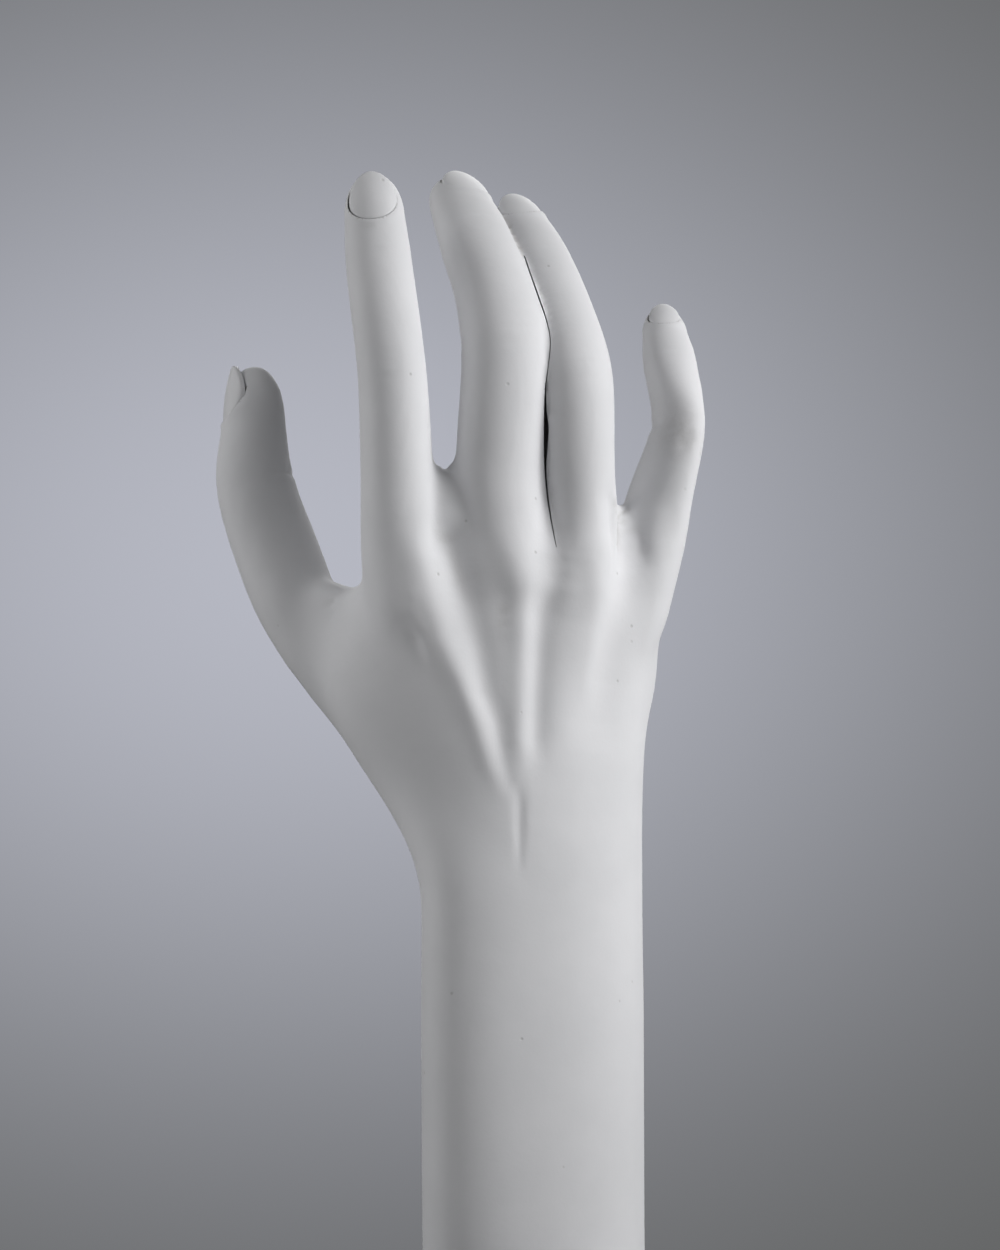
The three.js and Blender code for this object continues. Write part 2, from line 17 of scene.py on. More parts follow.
import bpy
import numpy as np
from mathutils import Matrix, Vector


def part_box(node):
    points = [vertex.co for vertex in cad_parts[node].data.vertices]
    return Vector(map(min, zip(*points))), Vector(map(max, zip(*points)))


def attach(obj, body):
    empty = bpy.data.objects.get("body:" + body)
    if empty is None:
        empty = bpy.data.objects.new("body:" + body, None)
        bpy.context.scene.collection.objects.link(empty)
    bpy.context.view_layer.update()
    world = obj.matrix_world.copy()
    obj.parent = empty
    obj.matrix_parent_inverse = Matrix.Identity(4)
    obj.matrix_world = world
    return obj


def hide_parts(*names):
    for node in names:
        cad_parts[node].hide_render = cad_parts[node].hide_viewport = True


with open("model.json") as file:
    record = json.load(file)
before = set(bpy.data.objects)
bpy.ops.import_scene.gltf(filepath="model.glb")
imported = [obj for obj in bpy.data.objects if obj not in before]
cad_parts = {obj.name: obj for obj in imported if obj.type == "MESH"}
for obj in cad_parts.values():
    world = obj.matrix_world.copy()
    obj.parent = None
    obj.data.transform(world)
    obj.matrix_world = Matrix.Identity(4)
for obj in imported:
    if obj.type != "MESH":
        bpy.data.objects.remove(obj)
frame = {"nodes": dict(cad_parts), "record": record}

log = logging.getLogger("hand_sculpture")

MM = 0.001
BODY = "root"
TINY = 1e-6

Span = tuple[float, float]
Place = tuple[float, float, float]
Colour = tuple[float, float, float, float]


class Side(Enum):
    """The side of the hand that a touch of the tool works on, as the sign of Y there."""

    BACK = -1
    PALM = 1


class DigitName(Enum):
    """The five digits, from the thumb's side."""

    THUMB = "thumb"
    INDEX = "index"
    MIDDLE = "middle"
    RING = "ring"
    LITTLE = "little"


def deselect_all() -> None:
    """Leaves edit mode and deselects every object."""
    if bpy.context.object is not None and bpy.context.object.mode != "OBJECT":
        bpy.ops.object.mode_set(mode="OBJECT")
    bpy.ops.object.select_all(action="DESELECT")


def make_active(piece: bpy.types.Object) -> None:
    """Selects one object alone and makes it the active one.

    Args:
        piece: the object to work on.
    """
    deselect_all()
    piece.select_set(True)
    bpy.context.view_layer.objects.active = piece


def apply_modifier(piece: bpy.types.Object, kind: str, **settings: object) -> None:
    """Adds a modifier with its settings and applies it.

    Args:
        piece: the object that is changed.
        kind: the modifier's type, such as REMESH.
        settings: the modifier's own properties.
    """
    make_active(piece)
    modifier = piece.modifiers.new(kind.title(), kind)
    for name, value in settings.items():
        setattr(modifier, name, value)
    bpy.ops.object.modifier_apply(modifier=modifier.name)


def read_points(piece: bpy.types.Object) -> np.ndarray:
    """Returns the places of a mesh's vertices in millimetres.

    Args:
        piece: a mesh object.

    Returns:
        One row of across, back and up for each vertex.
    """
    flat = np.empty(len(piece.data.vertices) * 3, np.float32)
    piece.data.vertices.foreach_get("co", flat)
    return flat.reshape(-1, 3).astype(float) / MM


def write_points(piece: bpy.types.Object, points: np.ndarray) -> None:
    """Sets the places of a mesh's vertices, given in millimetres."""
    piece.data.vertices.foreach_set("co", (points * MM).astype(np.float32).ravel())
    piece.data.update()


def read_normals(piece: bpy.types.Object) -> np.ndarray:
    """Returns the normals of a mesh's vertices.

    Args:
        piece: a mesh object.

    Returns:
        One row of across, back and up for each vertex.
    """
    flat = np.empty(len(piece.data.vertices) * 3, np.float32)
    piece.data.vertex_normals.foreach_get("vector", flat)
    return flat.reshape(-1, 3).astype(float)


class Neighbours:
    """The edges of a mesh, which average values over the neighbours of each vertex."""

    def __init__(self, mesh: bpy.types.Mesh) -> None:
        """Reads the edges of a mesh.

        Args:
            mesh: the mesh whose edges are read.
        """
        edges = np.empty(len(mesh.edges) * 2, np.int32)
        mesh.edges.foreach_get("vertices", edges)
        self.size = len(mesh.vertices)
        self.start, self.end = edges.reshape(-1, 2).T
        count = np.bincount(self.start, minlength=self.size) + np.bincount(self.end, minlength=self.size)
        self.count = np.maximum(count, 1)

    def mean(self, values: np.ndarray) -> np.ndarray:
        """Returns the mean of the neighbours' values, for one value or several per vertex.

        Args:
            values: one value or one row for each vertex.

        Returns:
            The means, in the same form as the values.
        """
        if values.ndim > 1:
            return np.stack([self.mean(column) for column in values.T], axis=1)
        total = np.bincount(self.start, values[self.end], self.size)
        return (total + np.bincount(self.end, values[self.start], self.size)) / self.count


def fill_hollows(piece: bpy.types.Object, weights: np.ndarray, rounds: int, crown_share: float) -> None:
    """Smooths a mesh as clay is pressed into its hollows, so that its crowns hardly shrink.

    Args:
        piece: the object that is smoothed.
        weights: how strongly each vertex takes part, from 0 to 1.
        rounds: how often each vertex goes half of the way to its neighbours' mean.
        crown_share: how much of that a vertex on a crown takes.
    """
    neighbours = Neighbours(piece.data)
    points = read_points(piece)
    steps, pace = 10, 0.5
    for _ in range(rounds // steps):
        write_points(piece, points)
        normals = read_normals(piece)
        for _ in range(steps):
            step = neighbours.mean(points) - points
            outwards = np.einsum("ij,ij->i", step, normals) > 0
            points = points + step * (pace * weights * np.where(outwards, 1, crown_share))[:, None]
    write_points(piece, points)


def smoothstep(low: float, high: float, value: np.ndarray) -> np.ndarray:
    """Returns a smooth rise from 0 at low to 1 at high."""
    share = np.clip((value - low) / (high - low), 0, 1)
    return share * share * (3 - 2 * share)


def bell(away: np.ndarray, width: np.ndarray | float) -> np.ndarray:
    """Returns a smooth bell that is 1 in its middle and a half at half its width."""
    return np.exp(-4 * math.log(2) * (away / width) ** 2)


def extrude_tube(name: str, sides: int, rings: int) -> bpy.types.Object:
    """Extrudes a filled circle into a closed tube, one unit per ring, to be laid along a shape afterwards.

    Args:
        name: the object's name.
        sides: how many vertices each ring has.
        rings: how many rings the tube has.

    Returns:
        The tube's object.
    """
    deselect_all()
    bpy.ops.mesh.primitive_circle_add(vertices=sides, radius=1, fill_type="NGON")
    tube = bpy.context.object
    tube.name = name
    bpy.ops.object.mode_set(mode="EDIT")
    bpy.ops.mesh.select_all(action="SELECT")
    for _ in range(rings - 1):
        bpy.ops.mesh.extrude_region_move(TRANSFORM_OT_translate={"value": (0, 0, 1)})
    bpy.ops.object.mode_set(mode="OBJECT")
    return tube


def lay_tube(tube: bpy.types.Object, place: Callable[[np.ndarray, np.ndarray], np.ndarray]) -> None:
    """Moves each vertex of an extruded tube to its place on a shape, and turns the faces outwards.

    Args:
        tube: a tube made by extrude_tube.
        place: gives places in millimetres from the rings' numbers and the angles round them.
    """
    points = read_points(tube) * MM
    rings = np.rint(points[:, 2]).astype(int)
    angles = np.arctan2(points[:, 1], points[:, 0])
    write_points(tube, place(rings, angles))
    make_active(tube)
    bpy.ops.object.mode_set(mode="EDIT")
    bpy.ops.mesh.select_all(action="SELECT")
    bpy.ops.mesh.normals_make_consistent(inside=False)
    bpy.ops.object.mode_set(mode="OBJECT")


def join_pieces(name: str, pieces: Sequence[bpy.types.Object]) -> bpy.types.Object:
    """Joins several objects into the first one and returns it.

    Args:
        name: the name of the joined object.
        pieces: the objects, of which the first one stays.

    Returns:
        The joined object.
    """
    deselect_all()
    for piece in pieces:
        piece.select_set(True)
    bpy.context.view_layer.objects.active = pieces[0]
    bpy.ops.object.join()
    pieces[0].name = name
    pieces[0].data.name = name
    return pieces[0]


def weigh(piece: bpy.types.Object, name: str, weights: np.ndarray, levels: int = 40) -> str:
    """Stores a vertex group in a few even levels of weight.

    Args:
        piece: the object that gets the group.
        name: the group's name.
        weights: a weight from 0 to 1 for each vertex.
        levels: how many steps the weights are rounded to.

    Returns:
        The group's name.
    """
    group = piece.vertex_groups.new(name=name)
    steps = np.rint(np.clip(weights, 0, 1) * levels).astype(int)
    for step in range(1, levels + 1):
        members = np.flatnonzero(steps == step)
        if len(members):
            group.add(members.tolist(), step / levels, "REPLACE")
    return name


@dataclass
class Curve:
    """A smooth curve through points, with the even pace of a centripetal spline."""

    points: np.ndarray

    def __post_init__(self) -> None:
        """Adds a point before the first and after the last, so that each span has two neighbours."""
        first = 2 * self.points[0] - self.points[1]
        last = 2 * self.points[-1] - self.points[-2]
        self.padded = np.vstack([first, self.points, last])

    def _span(self, share: float) -> tuple[np.ndarray, float]:
        """Returns a span's four cubic coefficients and the place within it.

        Args:
            share: a share of the curve from 0 to 1.

        Returns:
            The coefficients, from the constant one up, and the place from 0 to 1.
        """
        spans = len(self.points) - 1
        at = min(max(share, 0.0), 1.0) * spans
        number = min(int(at), spans - 1)
        p0, p1, p2, p3 = self.padded[number : number + 4]
        d0, d1, d2 = (math.sqrt(np.linalg.norm(b - a)) for a, b in ((p0, p1), (p1, p2), (p2, p3)))
        t1 = ((p1 - p0) / d0 - (p2 - p0) / (d0 + d1) + (p2 - p1) / d1) * d1
        t2 = ((p2 - p1) / d1 - (p3 - p1) / (d1 + d2) + (p3 - p2) / d2) * d1
        return np.array([p1, t1, 3 * (p2 - p1) - 2 * t1 - t2, 2 * (p1 - p2) + t1 + t2]), at - number

    def at(self, share: float) -> np.ndarray:
        """Returns the point at a share of the curve from 0 to 1."""
        c, t = self._span(share)
        return c[0] + t * (c[1] + t * (c[2] + t * c[3]))

    def tangent(self, share: float) -> np.ndarray:
        """Returns the unit direction at a share of the curve from 0 to 1.

        Args:
            share: a share of the curve from 0 to 1.

        Returns:
            The direction, of length 1.
        """
        c, t = self._span(share)
        run = c[1] + t * (2 * c[2] + t * 3 * c[3])
        return run / np.linalg.norm(run)


@dataclass(frozen=True)
class Bone:
    """One bone: its length, its lean to the little finger's side and its flex to the palm, in degrees."""

    length: float
    lean: float
    flex: float

    def run(self) -> np.ndarray:
        """Returns the bone from end to end.

        Returns:
            The run across, back and up.
        """
        lean, flex = math.radians(self.lean), math.radians(self.flex)
        along = (math.sin(lean) * math.cos(flex), math.sin(flex), math.cos(lean) * math.cos(flex))
        return self.length * np.array(along)


@dataclass(frozen=True)
class Frame:
    """Where a digit's section lies: its middle, its three directions and its half sizes."""

    centre: np.ndarray
    along: np.ndarray
    dorsal: np.ndarray
    across: np.ndarray
    breadth: float
    depth: float


@dataclass
class Digit:
    """A finger or the thumb. Stations count its bones from the knuckle, so its tip is at 3.

    Breadths, depths, sideways shifts and twists of the flesh belong to the size stations.
    """

    name: DigitName
    knuckle: Place
    turn: float
    bones: tuple[Bone, Bone, Bone]
    breadths: tuple[float, ...]
    depths: tuple[float, ...]
    nail_width: float
    nail_length: float
    shifts: tuple[float, ...] = (0.0, 0.0, 0.0, 0.0, 0.0, 0.0)
    twists: tuple[float, ...] = (0.0, 0.0, 0.0, 0.0, 0.0, 0.0)
    root_station: float = -0.45
    nail_station: float = 2.5
    tip_station: float = 3.0
    size_stations: tuple[float, ...] = (0.0, 0.5, 1.0, 1.5, 2.0, 2.5)
    cap_rings: int = 20
    cap_end: float = 0.998

    def __post_init__(self) -> None:
        """Works out the joints and the curve through them."""
        self.joints = [np.array(self.knuckle)]
        for bone in self.bones:
            self.joints.append(self.joints[-1] + bone.run())
        root = self.joints[0] + (Arm.WRIST - self.joints[0]) * -self.root_station
        self.curve = Curve(np.array([root, *self.joints]))
        turn = math.radians(self.turn)
        self.nail_side = np.array([math.sin(turn), -math.cos(turn), 0.0])
        self.breadth, self.depth, self.shift, self.twist = (
            Curve(np.column_stack([self.size_stations, values]))
            for values in (self.breadths, self.depths, self.shifts, self.twists)
        )

    def share(self, station: float) -> float:
        """Returns a station's share of the curve, whose first span leads from the root to the knuckle."""
        span = 1 - station / self.root_station if station < 0 else 1 + station
        return span / len(self.joints)

    def frame(self, station: float) -> Frame:
        """Returns the section at a station.

        Args:
            station: a place along the digit.

        Returns:
            The section's frame.
        """
        along = self.curve.tangent(self.share(station))
        dorsal = self.nail_side - along * (self.nail_side @ along)
        dorsal /= np.linalg.norm(dorsal)
        sized = min(max(station, 0.0), self.nail_station) / self.nail_station
        twist = math.radians(self.twist.at(sized)[1])
        dorsal = dorsal * math.cos(twist) + np.cross(along, dorsal) * math.sin(twist)
        run = min(max((station - self.nail_station) / (self.tip_station - self.nail_station), 0.0), 1.0)
        half = math.sqrt(1 - run * run) / 2
        return Frame(
            centre=self.curve.at(self.share(station)) + np.array([self.shift.at(sized)[1], 0.0, 0.0]),
            along=along,
            dorsal=dorsal,
            across=np.cross(along, dorsal),
            breadth=self.breadth.at(sized)[1] * half,
            depth=self.depth.at(sized)[1] * half,
        )

    def flesh(self, sides: int, rings: int) -> bpy.types.Object:
        """Returns the digit's plain flesh, from inside the palm to the tip.

        Args:
            sides: how many vertices each ring has.
            rings: how many rings there are.

        Returns:
            The closed tube's object.
        """
        length = self.tip_station - self.nail_station
        cap = np.sin(np.linspace(0, math.pi / 2, self.cap_rings)) * length
        shaft = np.linspace(self.root_station, self.nail_station, rings - len(cap), endpoint=False)
        return self.tube(np.concatenate([shaft, self.nail_station + cap * self.cap_end]), sides)

    def stub(self, end: float, sides: int, rings: int) -> bpy.types.Object:
        """Returns only the digit's root, up to a station."""
        return self.tube(np.linspace(self.root_station, end, rings), sides)

    def tube(self, stations: np.ndarray, sides: int) -> bpy.types.Object:
        """Returns a closed tube of oval sections through stations.

        Args:
            stations: where its rings lie.
            sides: how many vertices each ring has.

        Returns:
            The tube's object.
        """
        frames = [self.frame(float(station)) for station in stations]
        centre = np.array([f.centre for f in frames])
        across = np.array([f.across * f.breadth for f in frames])
        dorsal = np.array([f.dorsal * f.depth for f in frames])
        tube = extrude_tube(f"{self.name.value}_flesh", sides, len(stations))

        def place(ring: np.ndarray, angle: np.ndarray) -> np.ndarray:
            """Returns places on the oval sections."""
            return centre[ring] + across[ring] * np.cos(angle)[:, None] - dorsal[ring] * np.sin(angle)[:, None]

        lay_tube(tube, place)
        return tube


@dataclass
class Arm:
    """The forearm, the palm and the webs between the fingers, as one skin of bent ovals."""

    WRIST = np.array([-0.6, 0.0, 133.3])

    foot: float = 2.3
    forearm_width: float = 54.2
    forearm_depth: float = 47.0
    wrist_width: float = 54.6
    wrist_depth: float = 41.0
    knuckle_depth: float = 28.0
    palm_shift: float = 2.0
    palm_hollow: float = 4.0
    web_rise: float = 31.0
    web_fall: float = 12.0
    web_depth: float = 12.0
    web_shift: float = -1.5
    web_narrow: float = 6.0
    web_edge: float = 5.0
    web_thinning: float = 0.85
    hollow_end: float = 0.85
    edge_ease: float = 2.2
    depth_ease: float = 2.0
    wrist_power: float = 2.4
    palm_power: float = 3.2
    flare: float = 19.3
    flare_rise: Span = (-11.3, 36.7)
    flare_fall: Span = (39.7, 70.7)
    turn: float = 0.26
    turn_rise: float = 45.0
    fall: float = 0.45
    fall_ease: float = 6.0
    fall_rise: Span = (-10.0, 20.0)
    fall_end: Span = (57.0, 72.0)
    tendon_foot: Span = (-2.5, 10.0)
    tendon_offset: float = 5.5

    def over_wrist(self, span: Span) -> np.ndarray:
        """Returns a span of heights that is given over the wrist."""
        return self.WRIST[2] + np.array(span)

    def thumb_fall(self, x: np.ndarray, height: np.ndarray, index: Digit) -> np.ndarray:
        """Returns how far the hand falls away to the palm's side, beyond the index finger's tendon.

        Args:
            x: places across the hand.
            height: their heights.
            index: the index finger.

        Returns:
            The fall at each place.
        """
        foot = self.WRIST[[0, 2]] + self.tendon_foot
        head = index.joints[0][[0, 2]] + (self.tendon_offset, 0.0)
        ridge = foot[0] + (head[0] - foot[0]) * (height - foot[1]) / (head[1] - foot[1])
        away = np.maximum(ridge - x, 0)
        over = height - self.WRIST[2]
        within = smoothstep(*self.fall_rise, over) * (1 - smoothstep(*self.fall_end, over))
        return self.fall * away**2 / (away + self.fall_ease) * within

    def arch(self, x: np.ndarray, digits: dict[DigitName, Digit]) -> np.ndarray:
        """Returns how far back the row of knuckles lies at a place across the hand.

        Args:
            x: places across the hand.
            digits: the five digits.

        Returns:
            The row's place back, on a parabola through three knuckles.
        """
        names = (DigitName.INDEX, DigitName.MIDDLE, DigitName.LITTLE)
        a, b, c = (digits[name].joints[0] for name in names)
        x = np.clip(x, a[0], c[0])
        return (
            a[1] * (x - b[0]) * (x - c[0]) / ((a[0] - b[0]) * (a[0] - c[0]))
            + b[1] * (x - a[0]) * (x - c[0]) / ((b[0] - a[0]) * (b[0] - c[0]))
            + c[1] * (x - a[0]) * (x - b[0]) / ((c[0] - a[0]) * (c[0] - b[0]))
        )

    def flesh(self, digits: dict[DigitName, Digit], sides: int, rings: int) -> bpy.types.Object:
        """Returns the plain flesh from the foot to the webs.

        Args:
            digits: the five digits, whose knuckles the palm follows.
            sides: how many vertices each ring has.
            rings: how many rings there are.

        Returns:
            The closed tube's object.
        """
        wrist = self.WRIST[2]
        knuckles = digits[DigitName.MIDDLE].joints[0][2]
        top = knuckles + self.web_rise
        index, little = digits[DigitName.INDEX], digits[DigitName.LITTLE]
        thumb_side = index.joints[0][0] - index.breadths[0] / 2
        little_side = little.joints[0][0] + little.shifts[0] + little.breadths[0] / 2
        tube = extrude_tube("arm_flesh", sides, rings)

        def place(ring: np.ndarray, angle: np.ndarray) -> np.ndarray:
            """Returns places on the sections, which turn from wrist to palm to web.

            Args:
                ring: the rings' numbers.
                angle: the angles round them.

            Returns:
                The places in millimetres.
            """
            height = self.foot + (top - self.foot) * ring / (rings - 1)
            share, side = np.cos(angle), np.where(np.sin(angle) >= 0, 1.0, -1.0)
            forearm = np.clip((height - self.foot) / (wrist - self.foot), 0, 1)
            palm = np.clip((height - wrist) / (knuckles - wrist), 0, 1)
            web = np.clip((height - knuckles) / self.web_rise, 0, 1)
            edge = np.clip(1 - (top - height) / self.web_edge, 0, 1)
            spread = palm**self.edge_ease
            half = (self.forearm_width + (self.wrist_width - self.forearm_width) * forearm) / 2
            middle = self.WRIST[0] * forearm
            low = smoothstep(*self.over_wrist(self.flare_rise), height)
            high = smoothstep(*self.over_wrist(self.flare_fall), height)
            left = (middle - half) * (1 - spread) + thumb_side * spread + self.web_narrow * web
            left = left - self.flare * low * (1 - high)
            right = (middle + half) * (1 - spread) + little_side * spread - self.web_narrow * web
            deep = self.forearm_depth + (self.wrist_depth - self.forearm_depth) * forearm**self.depth_ease
            deep = deep + (self.knuckle_depth - deep) * palm
            deep = (deep + (self.web_depth - deep) * web) * np.sqrt(1 - self.web_thinning * edge**2)
            power = self.wrist_power + (self.palm_power - self.wrist_power) * palm
            hollow = self.palm_hollow * np.sin(math.pi * np.minimum(palm, self.hollow_end))
            x = left + (right - left) * (share + 1) / 2
            bulge = np.maximum(1 - np.abs(share) ** power, 0) ** (1 / power)
            sunk = np.where(side > 0, hollow * (1 - share**2) ** 2, 0)
            back = palm * (self.arch(x, digits) + self.palm_shift) + web * self.web_shift
            turned = self.turn * smoothstep(self.foot, self.foot + self.turn_rise, height) * (1 - palm)
            back = back + turned * (x - middle) + self.thumb_fall(x, height, index)
            y = back + side * deep * bulge / 2 - sunk
            return np.stack([x, y, height - web * self.web_fall * (share + 1) / 2], axis=1)

        lay_tube(tube, place)
        return tube


@dataclass(frozen=True)
class Pad:
    """A muscle pad: an ellipsoid at a share of the line between two joints, moved across and back."""

    name: str
    share: float
    across: float
    back: float
    width: float
    depth: float
    length: float
    segments: int = 48
    rings: int = 32

    def flesh(self, start: np.ndarray, end: np.ndarray) -> bpy.types.Object:
        """Returns the pad between two joints, with its place in its mesh.

        Args:
            start: the joint at the pad's root.
            end: the joint at its end.

        Returns:
            The pad's object.
        """
        run = Vector((end - start).tolist()).normalized()
        centre = start + (end - start) * self.share + np.array([self.across, self.back, 0.0])
        deselect_all()
        bpy.ops.mesh.primitive_uv_sphere_add(
            segments=self.segments,
            ring_count=self.rings,
            radius=1,
            location=(centre * MM).tolist(),
            rotation=Vector((0, 0, 1)).rotation_difference(run).to_euler(),
            scale=[size / 2 * MM for size in (self.width, self.depth, self.length)],
        )
        bpy.ops.object.transform_apply(location=True, rotation=True, scale=True)
        bpy.context.object.name = self.name
        return bpy.context.object


@dataclass(frozen=True)
class Touch:
    """One point of a stroke: its place across and up, how wide the tool is there and how much it raises."""

    x: float
    z: float
    width: float
    height: float


@dataclass(frozen=True)
class Stroke:
    """A ridge or a furrow, where its heights are below zero, drawn on one side of the hand."""

    touches: tuple[Touch, ...]
    side: Side = Side.BACK

    def lift(self, points: np.ndarray) -> np.ndarray:
        """Returns how far the stroke raises each point.

        Args:
            points: places in millimetres.

        Returns:
            The rise of each point, below zero in a furrow.
        """
        flat = points[:, [0, 2]]
        best = np.zeros(len(points))
        for start, end in pairwise(self.touches):
            a, b = np.array([start.x, start.z]), np.array([end.x, end.z])
            run = b - a
            t = np.clip((flat - a) @ run / (run @ run), 0, 1)
            away = np.linalg.norm(flat - (a + t[:, None] * run), axis=1)
            width = start.width + (end.width - start.width) * t
            lift = (start.height + (end.height - start.height) * t) * bell(away, width)
            best = np.where(np.abs(lift) > np.abs(best), lift, best)
        return best


def stroke(*touches: tuple[float, float, float, float], side: Side = Side.BACK) -> Stroke:
    """Returns a stroke from plain numbers: across, up, width and height of each touch."""
    return Stroke(tuple(Touch(*touch) for touch in touches), side)


def dab(x: float, z: float, width: float, height: float) -> Stroke:
    """Returns one round touch of the tool on the back of the hand, as a stroke that hardly moves."""
    run = 0.01
    return stroke((x, z, width, height), (x, z + run, width, height))


@dataclass(frozen=True)
class Crease:
    """A skin fold round a digit at a station, on its back or on its palm side, below zero where it is sunk."""

    digit: DigitName
    station: float
    width: float
    height: float
    side: Side
    bow: float = 0.0


@dataclass
class DigitPlaces:
    """Where each vertex lies on the digit that it belongs to."""

    owner: np.ndarray
    station: np.ndarray
    across: np.ndarray
    dorsal: np.ndarray
    bone: np.ndarray

    @classmethod
    def find(
        cls,
        points: np.ndarray,
        digits: dict[DigitName, Digit],
        samples: int = 140,
        first_station: float = -0.3,
        margin: float = 22.0,
        least_half: float = 2.0,
        farthest: float = 1.5,
    ) -> "DigitPlaces":
        """Finds the nearest digit's section for every point.

        Args:
            points: places in millimetres.
            digits: the five digits.
            samples: how many sections are tried along each digit.
            first_station: where the first of them lies.
            margin: how far round a digit's middle line points are looked at.
            least_half: the least half size that a section is measured with.
            farthest: how many half sizes away a point may lie.

        Returns:
            The owner's number or -1, the station, the place across and dorsal in half sizes, and the bone's
            length.
        """
        count = len(points)
        found = cls(np.full(count, -1), np.zeros(count), np.zeros(count), np.zeros(count), np.ones(count))
        nearest = np.full(count, farthest)
        for number, digit in enumerate(digits.values()):
            stations = np.linspace(first_station, digit.tip_station, samples)
            frames = [digit.frame(float(station)) for station in stations]
            centres = np.array([f.centre for f in frames])
            low, high = centres.min(0) - margin, centres.max(0) + margin
            near = np.flatnonzero(np.all((points > low) & (points < high), axis=1))
            gaps = points[near][:, None, :] - centres[None]
            best = np.argmin(np.einsum("ijk,ijk->ij", gaps, gaps), axis=1)
            gap = gaps[np.arange(len(near)), best]
            breadth = np.array([max(f.breadth, least_half) for f in frames])[best]
            depth = np.array([max(f.depth, least_half) for f in frames])[best]
            across = np.einsum("ij,ij->i", gap, np.array([f.across for f in frames])[best]) / breadth
            dorsal = np.einsum("ij,ij->i", gap, np.array([f.dorsal for f in frames])[best]) / depth
            reach = np.hypot(across, dorsal)
            won = reach < nearest[near]
            index, station = near[won], stations[best[won]]
            nearest[index] = reach[won]
            found.owner[index] = number
            found.station[index] = station
            found.across[index], found.dorsal[index] = across[won], dorsal[won]
            lengths = np.array([bone.length for bone in digit.bones])
            found.bone[index] = lengths[np.clip(station, 0, len(lengths) - 1).astype(int)]
        return found


def make_digits() -> dict[DigitName, Digit]:
    """Returns the five digits on their bones, as the solids have them.

    Returns:
        The digits by their names, from the thumb's side.
    """
    wrist = Arm.WRIST

    def knuckle(across: float, back: float, up: float) -> Place:
        """Returns a knuckle's place from its offset to the wrist."""
        return tuple((wrist + np.array([across, back, up])).tolist())

    digits = (
        Digit(
            DigitName.THUMB, knuckle(-25, 8, 13.5), turn=-76,
            bones=(Bone(51, -39, 9), Bone(40.5, -18, 9), Bone(30.5, -3, 11)),
            breadths=(22, 23, 22, 20.5, 19.5, 17), depths=(17, 17.5, 20.3, 21.5, 20, 16),
            nail_width=13, nail_length=15, shifts=(1.5, 2.9, 2.2, 1.5, -0.2, 0.7),
        ),
        Digit(
            DigitName.INDEX, knuckle(-29.4, -6, 63), turn=0,
            bones=(Bone(55.2, -4.9, -7), Bone(26, -7, 4), Bone(21.1, -5, 9)),
            breadths=(23, 17.8, 16.6, 16.4, 16, 14.6), depths=(26, 19, 17.5, 16, 15, 13),
            nail_width=11.5, nail_length=12.6,
        ),
        Digit(
            DigitName.MIDDLE, knuckle(-6.4, -4, 65.5), turn=22,
            bones=(Bone(58.6, 0, -1), Bone(31.1, -16, 27), Bone(24, -18, 49)),
            breadths=(23, 21.9, 21.7, 19, 18.3, 17), depths=(28, 20.5, 20.5, 18, 16, 13),
            nail_width=12, nail_length=12.5, shifts=(0, -1.9, -0.4, -0.4, -0.4, -0.7),
        ),
        Digit(
            DigitName.RING, knuckle(12.8, -1, 65), turn=24,
            bones=(Bone(51, -2.5, -3), Bone(33, -15, 29), Bone(26, -28, 41)),
            breadths=(19.5, 17.8, 18.3, 17, 16, 14), depths=(27, 19, 18.5, 16.5, 14.5, 12),
            nail_width=10.5, nail_length=11.5, shifts=(-1, -1.8, -0.4, -0.8, -0.8, -0.2),
        ),
        Digit(
            DigitName.LITTLE, knuckle(28.5, 8, 60), turn=4,
            bones=(Bone(44, 10, 3), Bone(19, -8, 25), Bone(18.5, -6, 40)),
            breadths=(16.5, 12, 10.2, 13, 13.4, 11.4), depths=(22, 19.6, 15.8, 14.2, 11.5, 9.5),
            nail_width=7.6, nail_length=9,
            shifts=(-3, -3.3, -0.3, 0.3, 0.6, 0.5), twists=(10, 44, 44, 22, 0, 0),
        ),
    )
    return {digit.name: digit for digit in digits}


@dataclass(frozen=True)
class Relief:
    """A noise pattern to press into a face: how fine, rich, rough and strong it is, and its depth in metres."""

    scale: float
    detail: float
    roughness: float
    strength: float
    depth: float


